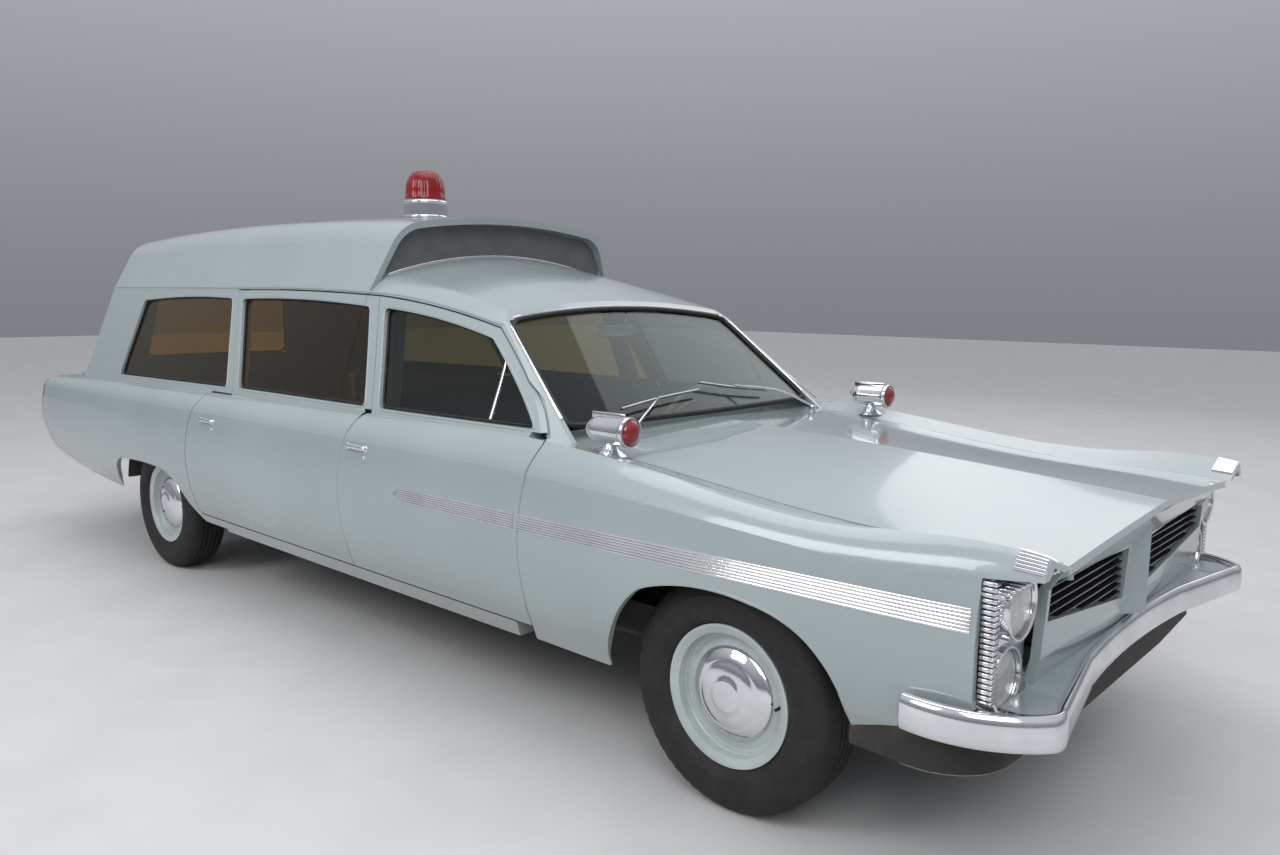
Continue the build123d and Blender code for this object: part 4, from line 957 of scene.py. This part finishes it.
# Wipers: bright arm, blade and pivot
wipers = [
    {"pivot": (1.575, -0.56), "blade": [(-0.47, 1.03), (-0.25, 1.052), (-0.01, 1.066)]},
    {"pivot": (1.575, 0.56), "blade": [(0.42, 1.04), (0.22, 1.062), (0.03, 1.09)]},
]
for number, wiper in enumerate(wipers):
    x, y = wiper["pivot"]
    base = onTop(["hood", "cowl", "front_fender_left", "front_fender_right"], x - 0.045, y, 0.0)
    line = [onFront(["windshield"], by, bz, 0.026) for by, bz in wiper["blade"]]
    arm = tube([base + Vector((0, 0, 0.028)), (base + line[1]) / 2 + Vector((0.02, 0, 0.04)),
                line[1] + Vector((0, 0, 0.006))], 0.0045)
    spine = tube(line, 0.0038)
    post = drum(base + Vector((0, 0, 0.014)), 0.014, 0.034, "Z", 24, 0.004)
    bright(join([arm, spine, post]), f"wiperArm{number}", "body", 60)
    edge = tube([onFront(["windshield"], by, bz, 0.0215) for by, bz in wiper["blade"]], 0.0028)
    hand(edge, f"wiperBlade{number}", "body", "rubber", 60)
print("wipers")


# Padded seats: crowned forms, blown up as cloth within a cap, then given their sewn channels
padding = {"pressure": 4, "quality": 4, "steps": 16, "boxy": 9, "channelDepth": 0.011, "channelHalf": 0.01}


def inflated(piece, cap):
    before = [vertex.co.copy() for vertex in piece.data.vertices]
    pick(piece)
    cloth = piece.modifiers.new("cloth", "CLOTH")
    cloth.settings.use_pressure = True
    cloth.settings.uniform_pressure_force = padding["pressure"]
    cloth.settings.effector_weights.gravity = 0
    cloth.settings.quality = padding["quality"]
    for step in range(1, padding["steps"] + 1):
        bpy.context.scene.frame_set(step)
    bpy.ops.object.modifier_apply(modifier="cloth")
    bpy.context.scene.frame_set(1)
    for vertex, start in zip(piece.data.vertices, before):
        move = vertex.co - start
        if move.length > cap:
            vertex.co = start + move * (cap / move.length)
    return piece


def cushion(low, high, crown=0.02, pull=0.02, channels=0, channelAxis=1, cuts=22, cap=0.008):
    middle = [(a + b) / 2 for a, b in zip(low, high)]
    half = [(b - a) / 2 - cap for a, b in zip(low, high)]
    bpy.ops.object.select_all(action="DESELECT")
    bpy.ops.mesh.primitive_cube_add(size=2)
    piece = bpy.context.object
    bpy.ops.object.mode_set(mode="EDIT")
    bpy.ops.mesh.select_all(action="SELECT")
    bpy.ops.mesh.subdivide(number_cuts=cuts)
    bpy.ops.object.mode_set(mode="OBJECT")
    boxy = padding["boxy"]
    for vertex in piece.data.vertices:
        u, v, w = vertex.co
        size = (abs(u) ** boxy + abs(v) ** boxy + abs(w) ** boxy) ** (1 / boxy)
        u, v, w = u / size, v / size, w / size
        puff = crown * (1 - u * u) * (1 - v * v) * max(0.0, w) ** 2
        edge = 1 - pull * (1 - v * v) * abs(u) ** 4
        side = 1 - pull * (1 - u * u) * abs(v) ** 4
        vertex.co = (middle[0] + u * half[0] * edge, middle[1] + v * half[1] * side,
                     middle[2] + w * (half[2] - crown * 0.5) + puff)
    inflated(piece, cap)
    for vertex in piece.data.vertices:
        place = (vertex.co[channelAxis] - middle[channelAxis]) / half[channelAxis]
        top = max(0.0, (vertex.co.z - middle[2]) / half[2]) ** 2
        for number in range(channels):
            line = -1 + 2 * (number + 1) / (channels + 1)
            away = (place - line) * half[channelAxis] / padding["channelHalf"]
            vertex.co.z -= padding["channelDepth"] * min(1.0, top) * math.exp(-away ** 2)
    modifier = piece.modifiers.new("round", "SUBSURF")
    modifier.levels = 1
    modifier.render_levels = 1
    return settle(piece)


def copied(piece, move):
    twin = piece.copy()
    twin.data = piece.data.copy()
    bpy.context.collection.objects.link(twin)
    twin.data.transform(Matrix.Translation(move))
    return twin


seat = {"base": ((0.42, -0.6, 0.376), (0.96, 0.6, 0.48)), "leanAt": (0.508, 0, 0.556), "lean": -100.6,
        "cushion": ((0.505, -0.618, 0.468), (0.992, -0.004, 0.612), 0.024), "apart": 0.622,
        "back": ((0.0, -0.618, 0.0), (0.5, -0.004, 0.118), 0.022), "pull": 0.015, "channels": 6,
        "panel": ((0.0, -0.612, -0.012), (0.5, 0.612, 0.004))}
base = box(*seat["base"], 0.012)
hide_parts("seats")
hand(base, "seatBase", "body", "vinyl")
lean = Matrix.Translation(seat["leanAt"]) @ Matrix.Rotation(math.radians(seat["lean"]), 4, "Y")
firstCushion = cushion(*seat["cushion"], seat["pull"], seat["channels"])
firstBack = cushion(*seat["back"], seat["pull"], seat["channels"])
firstBack.data.transform(lean)
for number, piece in enumerate((firstCushion, firstBack, copied(firstCushion, (0, seat["apart"], 0)),
                                copied(firstBack, (0, seat["apart"], 0)))):
    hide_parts("seats")
    hand(piece, ("seatCushion", "seatBack")[number % 2] + str(number // 2), "body", "vinyl", 60)
shell = box(*seat["panel"], 0.006)
shell.data.transform(lean)
hand(shell, "seatBackPanel", "body", "plastic")

# Benches of the load space: a panelled cabinet with two pads each
benches = [{"name": "benchRight", "y": (-0.56, -0.16), "top": 0.84, "front": 1},
           {"name": "benchLeft", "y": (0.15, 0.56), "top": 0.76, "front": -1}]
bay = {"x": (-2.3, -0.832), "foot": 0.584, "inset": 0.006, "head": 0.085, "panels": 4, "first": -2.28,
       "pitch": 0.362, "wide": 0.35, "panelFoot": 0.6, "panelHead": 0.1, "thick": 0.004}
benchPad = {"low": (-2.3, -0.56, 0.754), "high": (-1.569, -0.16, 0.84), "crown": 0.018, "pull": 0.02,
            "channels": 4, "cuts": 20, "apart": 0.736}
firstPad = cushion(benchPad["low"], benchPad["high"], benchPad["crown"], benchPad["pull"], benchPad["channels"], 0,
                   benchPad["cuts"])
for bench in benches:
    (y0, y1), front, inset = bench["y"], bench["front"], bay["inset"]
    x0, x1 = bay["x"]
    pieces = [box((x0, y0 + inset, bay["foot"]), (x1, y1 - inset, bench["top"] - bay["head"]), 0.006)]
    face = (y1 if front > 0 else y0) - front * inset
    low, high = sorted((face, face + front * bay["thick"]))
    for number in range(bay["panels"]):
        x, head = bay["first"] + number * bay["pitch"], bench["top"] - bay["panelHead"]
        pieces.append(box((x, low, bay["panelFoot"]), (x + bay["wide"], high, head), 0.002, 2))
    cabinet = join(pieces)
    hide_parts("seats")
    hand(cabinet, bench["name"] + "Cabinet", "body", "cream")
    for number in range(2):
        across = (y0 + y1 - benchPad["low"][1] - benchPad["high"][1]) / 2
        pad = copied(firstPad, (benchPad["apart"] * number, across, bench["top"] - benchPad["high"][2]))
        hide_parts("seats")
        hand(pad, f"{bench['name']}Pad{number}", "body", "tanVinyl", 60)
bpy.data.objects.remove(firstPad)
print("seats")

# Dashboard: instrument hood, dials, knobs, a glove box lid and a bright strip
dash = {"hood": ((1.146, 0.19, 0.906), (1.25, 0.55, 0.934)), "dials": (0.265, 0.37, 0.475), "dialZ": 0.852,
        "ring": [(0, 0.044), (-0.01, 0.046), (-0.014, 0.043), (-0.012, 0.039), (0, 0.038), (0, 0.044)],
        "face": [(0.002, 0.0), (0.002, 0.0385), (-0.004, 0.0385), (-0.004, 0.0)],
        "needle": ((-0.008, -0.001, -0.006), (-0.0065, 0.001, 0.03)),
        "knobs": (0.13, 0.07, 0.01, -0.05, -0.11), "knobZ": 0.8,
        "lidAt": (-0.4, 0.8), "lid": ((-0.005, -0.16, -0.028), (0.003, 0.16, 0.04)),
        "strip": [(1.15, -0.68, 0.878), (1.1385, -0.3, 0.88), (1.1385, 0.3, 0.88), (1.15, 0.68, 0.878)]}


def onDash(y, z):
    return lifted(["dashboard"], (0.8, y, z), (1, 0, 0), 0)


hand(box(*dash["hood"], 0.012), "dialHood", "body", "plastic")
for number, y in enumerate(dash["dials"]):
    spot = onDash(y, dash["dialZ"])
    bright(turned(dash["ring"], spot, "X", steps=40), f"dialRing{number}")
    hand(turned(dash["face"], spot, "X", steps=40), f"dialFace{number}", "body", "cream", 50)
    hand(boxAt(spot, *dash["needle"], 0.0004, 1), f"needle{number}", "body", "redLens", 50)
places = [onDash(y, dash["knobZ"]) for y in dash["knobs"]]
knobs = [drum(place + Vector((-0.01, 0, 0)), 0.01, 0.024, "X", 20, 0.003) for place in places if place]
bright(join(knobs), "dashKnobs")
hand(boxAt(onDash(*dash["lidAt"]), *dash["lid"], 0.002), "gloveBoxLid", "body", "paint")
bright(tube(dash["strip"], 0.004), "dashStrip")

# Horn ring, cap and rim of the steering wheel, built level and turned to its column
steering = {
    "place": (1.0, 0.37, 0.88), "slant": 28,
    "horn": [(-0.01, 0.118), (-0.014, 0.121), (-0.018, 0.118), (-0.014, 0.115), (-0.01, 0.118)],
    "cap": [(-0.008, 0.0345), (-0.016, 0.034), (-0.022, 0.028), (-0.025, 0.014), (-0.0255, 0.0)],
    "arms": ((-0.0165, -0.118, -0.006), (-0.0125, 0.118, 0.006)),
    "rim": [(0.0125, 0.2), (0.0095, 0.2082), (0.0, 0.2122), (-0.0095, 0.2082), (-0.0125, 0.2), (-0.0095, 0.1918),
            (0.0, 0.1878), (0.0095, 0.1918), (0.0125, 0.2)],
    "grips": 36, "gripFrom": 0.004, "gripWide": 0.5, "gripRise": 0.0012,
    "lever": [(1.045, 0.39, 0.866), (1.03, 0.47, 0.88), (1.0, 0.545, 0.9)], "knob": (0.998, 0.549, 0.901)}
wheelTurn = Matrix.Translation(steering["place"]) @ Matrix.Rotation(math.radians(steering["slant"]), 4, "Y")
piece = join([turned(steering["horn"], (0, 0, 0), "X"), turned(steering["cap"], (0, 0, 0), "X", steps=40),
              box(*steering["arms"], 0.0015)])
piece.data.transform(wheelTurn)
bright(piece, "hornRing", "steering_wheel")
rim = turned(steering["rim"], (0, 0, 0), "X", steps=96)
for vertex in rim.data.vertices:
    around = math.cos(math.atan2(vertex.co.z, vertex.co.y) * steering["grips"])
    if vertex.co.x > steering["gripFrom"] and around > steering["gripWide"]:
        vertex.co.x += steering["gripRise"]
rim.data.transform(wheelTurn)
hand(rim, "steeringRim", "steering_wheel", "cream", 60)
bright(join([tube(steering["lever"], 0.005), drum(steering["knob"], 0.01, 0.022, "Y", 20, 0.006)]), "signalLever")

# Inside mirror, headlining and cards of the quarters and doors
mirror = {"z": 1.34, "inside": -0.02, "stalk": [(-0.03, 0, 0.022), (-0.07, 0, -0.02)],
          "glass": ((-0.086, -0.11, -0.05), (-0.07, 0.11, 0.002))}
place = onFront(["windshield"], 0.0, mirror["z"], mirror["inside"]) * Vector((1, 0, 1))
stalk = tube([place + Vector(move) for move in mirror["stalk"]], 0.005)
bright(join([boxAt(place, *mirror["glass"], 0.006), stalk]), "mirror")

linings = {"cabLining": (0.3, 0.86, 6), "rearLining": (-2.38, 0.09, 22)}
lining = {"rows": 15, "half": 0.57, "narrow": 0.07, "tail": (-1.9, 0.48), "under": 1.2, "gap": 0.006, "seam": 0.003}
for name, (x0, x1, count) in linings.items():
    rows = []
    for row in range(lining["rows"]):
        line, found = [], hit(["roof"], ((x0 + x1) / 2, 0, lining["under"]), (0, 0, 1))
        for column in range(count + 1):
            x = between((x0, x1), column / count)
            half = lining["half"] - lining["narrow"] * max(0.0, (lining["tail"][0] - x) / lining["tail"][1])
            y = half * (2 * row / (lining["rows"] - 1) - 1)
            found = hit(["roof"], (x, y, lining["under"]), (0, 0, 1)) or found
            line.append(Vector((x, y, found[0].z - lining["gap"] - lining["seam"] * (column % 2))))
        rows.append(line[::-1])
    hand(drape(rows, 0.004), name, "body", "cream", 60)

quarterCard = {"panel": ((-2.43, -0.96), (0.846, 0.852), (0.615, 0.935)), "ribs": 12, "first": -2.36,
               "pitch": 0.122, "half": 0.005, "ribY": (0.842, 0.848), "ribZ": (0.635, 0.915)}
for sideName, sign in sides:
    pieces = [sideBox(sign, *quarterCard["panel"], 0.003)]
    for number in range(quarterCard["ribs"]):
        x, half = quarterCard["first"] + number * quarterCard["pitch"], quarterCard["half"]
        pieces.append(sideBox(sign, (x - half, x + half), quarterCard["ribY"], quarterCard["ribZ"], 0.002, 2))
    hand(join(pieces), f"quarterCard_{sideName}", "body", "cream")

# The crank row: its hub, three points of its arm and its grip, from the middle of the card
cards = {"front_door": (0.47, 1.29), "rear_door": (-0.56, 0.24)}
card = {"y": (0.8015, 0.8065), "z": (0.42, 0.93), "ribs": 9, "half": 0.004, "ribY": (0.7995, 0.8025),
        "ribZ": (0.58, 0.83), "rest": ((-0.17, 0.12), (0.752, 0.802), (0.7, 0.742)),
        "crank": [(0.2, 0.794, 0.8), (0.2, 0.787, 0.8), (0.24, 0.783, 0.772), (0.27, 0.78, 0.74),
                  (0.27, 0.77, 0.74)]}
for door, ends in cards.items():
    middle = sum(ends) / 2
    for sideName, sign in sides:
        body = f"{door}_{sideName}"
        pieces = [sideBox(sign, ends, card["y"], card["z"], 0.003)]
        for number in range(card["ribs"]):
            x, half = between(ends, (number + 1) / (card["ribs"] + 1)), card["half"]
            pieces.append(sideBox(sign, (x - half, x + half), card["ribY"], card["ribZ"], 0.0012, 2))
        hand(join(pieces), f"{door}Card_{sideName}", body, "vinyl")
        along, across, z = card["rest"]
        rest = sideBox(sign, [middle + x for x in along], across, z, 0.014, 4)
        hand(rest, f"{door}Rest_{sideName}", body, "vinyl")
        hub, *arm, grip = [(middle + x, sign * y, z) for x, y, z in card["crank"]]
        pieces = [drum(hub, 0.018, 0.016, "Y", 24), tube(arm, 0.0055), drum(grip, 0.009, 0.026, "Y", 20, 0.004)]
        bright(join(pieces), f"{door}Crank_{sideName}", body)

# Ribbed floor mats and the rails of the load deck
mat = {"places": ((0.98, 1.34, 0.12, 0.7), (0.98, 1.34, -0.7, -0.12), (-0.7, 0.36, -0.68, 0.68)),
       "z": (0.3745, 0.381), "ribZ": (0.38, 0.3835), "pitch": 0.05, "first": 0.03, "inset": 0.02, "wide": 0.012}
mats = []
for x0, x1, y0, y1 in mat["places"]:
    mats.append(box((x0, y0, mat["z"][0]), (x1, y1, mat["z"][1]), 0.003))
    for number in range(int((y1 - y0) / mat["pitch"])):
        y = y0 + mat["first"] + number * mat["pitch"]
        mats.append(box((x0 + mat["inset"], y, mat["ribZ"][0]), (x1 - mat["inset"], y + mat["wide"], mat["ribZ"][1]),
                        0.0012, 1))
hand(join(mats), "floorMats", "body", "rubber")
deck = {"board": ((-2.84, -0.128, 0.5825), (-0.83, 0.118, 0.588)), "rails": 6, "pitch": 0.04,
        "rail": ((-2.82, -0.11, 0.587), (-0.84, -0.1, 0.591))}
rails = [boxAt((0, number * deck["pitch"], 0), *deck["rail"], 0.0015, 1) for number in range(deck["rails"])]
bright(join([box(*deck["board"], 0.002)] + rails), "loadDeck", "body", 40)
print("interior")

# Tail: blank plate and its holder, handle and hinges of the loading door
tail = {"plate": ((-0.014, -0.152, 0.69), (-0.01, 0.152, 0.842)), "plateZ": 0.76,
        "holder": ((-0.01, -0.168, 0.676), (0.004, 0.168, 0.856)),
        "lampBar": ((-0.036, -0.07, 0.862), (0.002, 0.07, 0.886)), "gripAt": (-0.56, 0.9),
        "grip": [(-0.002, -0.045, 0), (-0.03, -0.035, 0), (-0.034, 0.045, 0), (-0.03, 0.125, 0), (-0.002, 0.135, 0)]}
tailX = onTail(["loading_door"], 0.0, tail["plateZ"]).x
hand(boxAt((tailX, 0, 0), *tail["plate"], 0.004), "blankPlate", "loading_door", "cream")
bright(join([boxAt((tailX, 0, 0), *tail["holder"], 0.006), boxAt((tailX, 0, 0), *tail["lampBar"], 0.008)]),
       "plateHolder", "loading_door")
grip = onTail(["loading_door"], *tail["gripAt"])
line = [grip + Vector(move) for move in tail["grip"]]
roses = [drum(line[end], 0.02, 0.01, "X", 24) for end in (0, -1)]
bright(join([tube(line, 0.008)] + roses), "tailHandle", "loading_door")
hinge = {"z": (0.69, 0.88), "x": -2.937, "y": 0.61, "leafX": -2.94, "over": 0.004,
         "door": ("loading_door", 0.575, 0.54, 0.606, 0.03), "post": ("quarter_left", 0.65, 0.616, 0.69, 0.026)}


def hingeLeaf(node, at, y0, y1, half, z):
    spot = onTail([node], at, z)
    return spot and box((hinge["leafX"], y0, z - half), (spot.x + hinge["over"], y1, z + half), 0.003)


for number, z in enumerate(hinge["z"]):
    barrel = drum((hinge["x"], hinge["y"], z), 0.0095, 0.07, "Z", 24, 0.002)
    bright(join([barrel, hingeLeaf(*hinge["door"], z)]), f"tailHinge{number}", "loading_door")
    leaf = hingeLeaf(*hinge["post"], z)
    if leaf:
        bright(leaf, f"tailHingeLeaf{number}")

# Engine bay: air cleaner, rocker covers, radiator with its fan, and hoses on the plain block
engine = {
    "cleaner": [(0.0, 0.0), (0.0, 0.06), (0.02, 0.072), (0.022, 0.168), (0.03, 0.176), (0.074, 0.176),
                (0.082, 0.17), (0.086, 0.15), (0.084, 0.06), (0.09, 0.04), (0.09, 0.0)],
    "cleanerAt": (1.86, 0, 0.694),
    "nut": (1.86, 0, 0.79), "snout": [(1.96, -0.08, 0.738), (2.06, -0.15, 0.738), (2.11, -0.19, 0.736)],
    "coverY": (-0.205, 0.205), "cover": ((1.56, -0.062, 0.692), (2.17, 0.062, 0.752)), "coverRibs": 7,
    "coverRib": ((1.6, -0.04, 0.748), (1.612, 0.04, 0.757)), "coverPitch": 0.085, "cap": (2.105, 0.762)}
pieces = [turned(engine["cleaner"], engine["cleanerAt"], "Z", steps=72),
          drum(engine["nut"], 0.014, 0.02, "Z", 24, 0.004), tube(engine["snout"], 0.034, resolution=5)]
hand(join(pieces), "airCleaner", "body", "darkPaint", 40)
covers = []
for y in engine["coverY"]:
    covers.append(boxAt((0, y, 0), *engine["cover"], 0.022, 4))
    covers += [boxAt((engine["coverPitch"] * n, y, 0), *engine["coverRib"], 0.004, 2)
               for n in range(engine["coverRibs"])]
    covers.append(drum((engine["cap"][0], y, engine["cap"][1]), 0.022, 0.022, "Z", 28, 0.005))
bright(join(covers), "rockerCovers", "body", 40)

radiator = {"core": ((2.56, -0.34, 0.4), (2.61, 0.34, 0.77)), "fins": 41, "pitch": 0.0165,
            "fin": ((2.551, -0.33, 0.42), (2.562, -0.324, 0.75)),
            "tank": ((2.548, -0.35, 0.755), (2.622, 0.35, 0.812)), "cap": (2.585, 0.0, 0.82),
            "blade": ((2.33, -0.022, 0.03), (2.336, 0.022, 0.15)), "blades": 4,
            "hub": (2.29, 0, 0.56),
            "hoses": [[(2.24, 0.06, 0.66), (2.36, 0.12, 0.73), (2.55, 0.18, 0.775)],
                      [(2.24, -0.12, 0.42), (2.4, -0.16, 0.4), (2.56, -0.2, 0.44)]]}
core = [box(*radiator["core"], 0.006)]
core += [boxAt((0, radiator["pitch"] * n, 0), *radiator["fin"], 0.0015, 1) for n in range(radiator["fins"])]
core += [box(*radiator["tank"], 0.016), drum(radiator["cap"], 0.026, 0.022, "Z", 32, 0.006)]
fan = []
for number in range(radiator["blades"]):
    fan.append(box(*radiator["blade"], 0.002))
    turn = Matrix.Rotation(math.tau * number / radiator["blades"], 4, "X")
    fan[-1].data.transform(Matrix.Translation((0, 0, radiator["hub"][2])) @ turn)
fan.append(drum(radiator["hub"], 0.045, 0.095, "X", 32, 0.006))
hand(join(core + fan), "radiator", "body", "darkPaint", 40)
hand(join([tube(line, 0.021, resolution=5) for line in radiator["hoses"]]), "hoses", "body", "rubber", 50)
print("engine bay")

# Underside: exhaust, shaft and tank
under = {
    "pipe": [(1.9, -0.3, 0.3), (1.6, -0.33, 0.215), (0.9, -0.36, 0.195), (0.3, -0.36, 0.195)],
    "tailPipe": [(-0.35, -0.36, 0.195), (-1.2, -0.36, 0.185), (-1.75, -0.37, 0.2), (-2.2, -0.385, 0.3),
                 (-2.7, -0.385, 0.3), (-2.86, -0.385, 0.29)],
    "silencer": (-0.03, -0.36, 0.195), "silencerLong": 0.66, "seams": (-0.33, -0.2, 0.14, 0.27),
    "shaft": [(1.5, 0.0, 0.315), (-1.345, 0.0, 0.342)], "joints": ((1.42, 0.0, 0.316), (-1.31, 0.0, 0.341)),
    "gearbox": ((1.15, -0.085, 0.262), (1.52, 0.085, 0.44)),
    "tank": ((-2.68, -0.36, 0.345), (-2.14, 0.42, 0.548)), "straps": (-2.54, -2.28),
    "strap": ((-0.018, -0.366, 0.338), (0.018, 0.426, 0.556))}
pipes = [tube(under["pipe"], 0.024), tube(under["tailPipe"], 0.021)]
silencer = drum(under["silencer"], 0.062, under["silencerLong"], "X", 40, 0.012)
seams = [drum((x, *under["silencer"][1:]), 0.0645, 0.012, "X", 40, 0.003) for x in under["seams"]]
hand(join(pipes + [silencer] + seams), "exhaust", "body", "cast", 50)
shaft = tube(under["shaft"], 0.034, straight=True, resolution=6)
joints = [drum(place, 0.046, 0.055, "X", 24) for place in under["joints"]]
gearbox = box(*under["gearbox"], 0.03, 4)
hand(join([shaft, gearbox] + joints), "propShaft", "body", "cast", 50)
tank = box(*under["tank"], 0.03, 4)
straps = [boxAt((x, 0, 0), *under["strap"], 0.006, 2) for x in under["straps"]]
hand(join([tank] + straps), "fuelTank", "body", "under", 50)
print("underside")
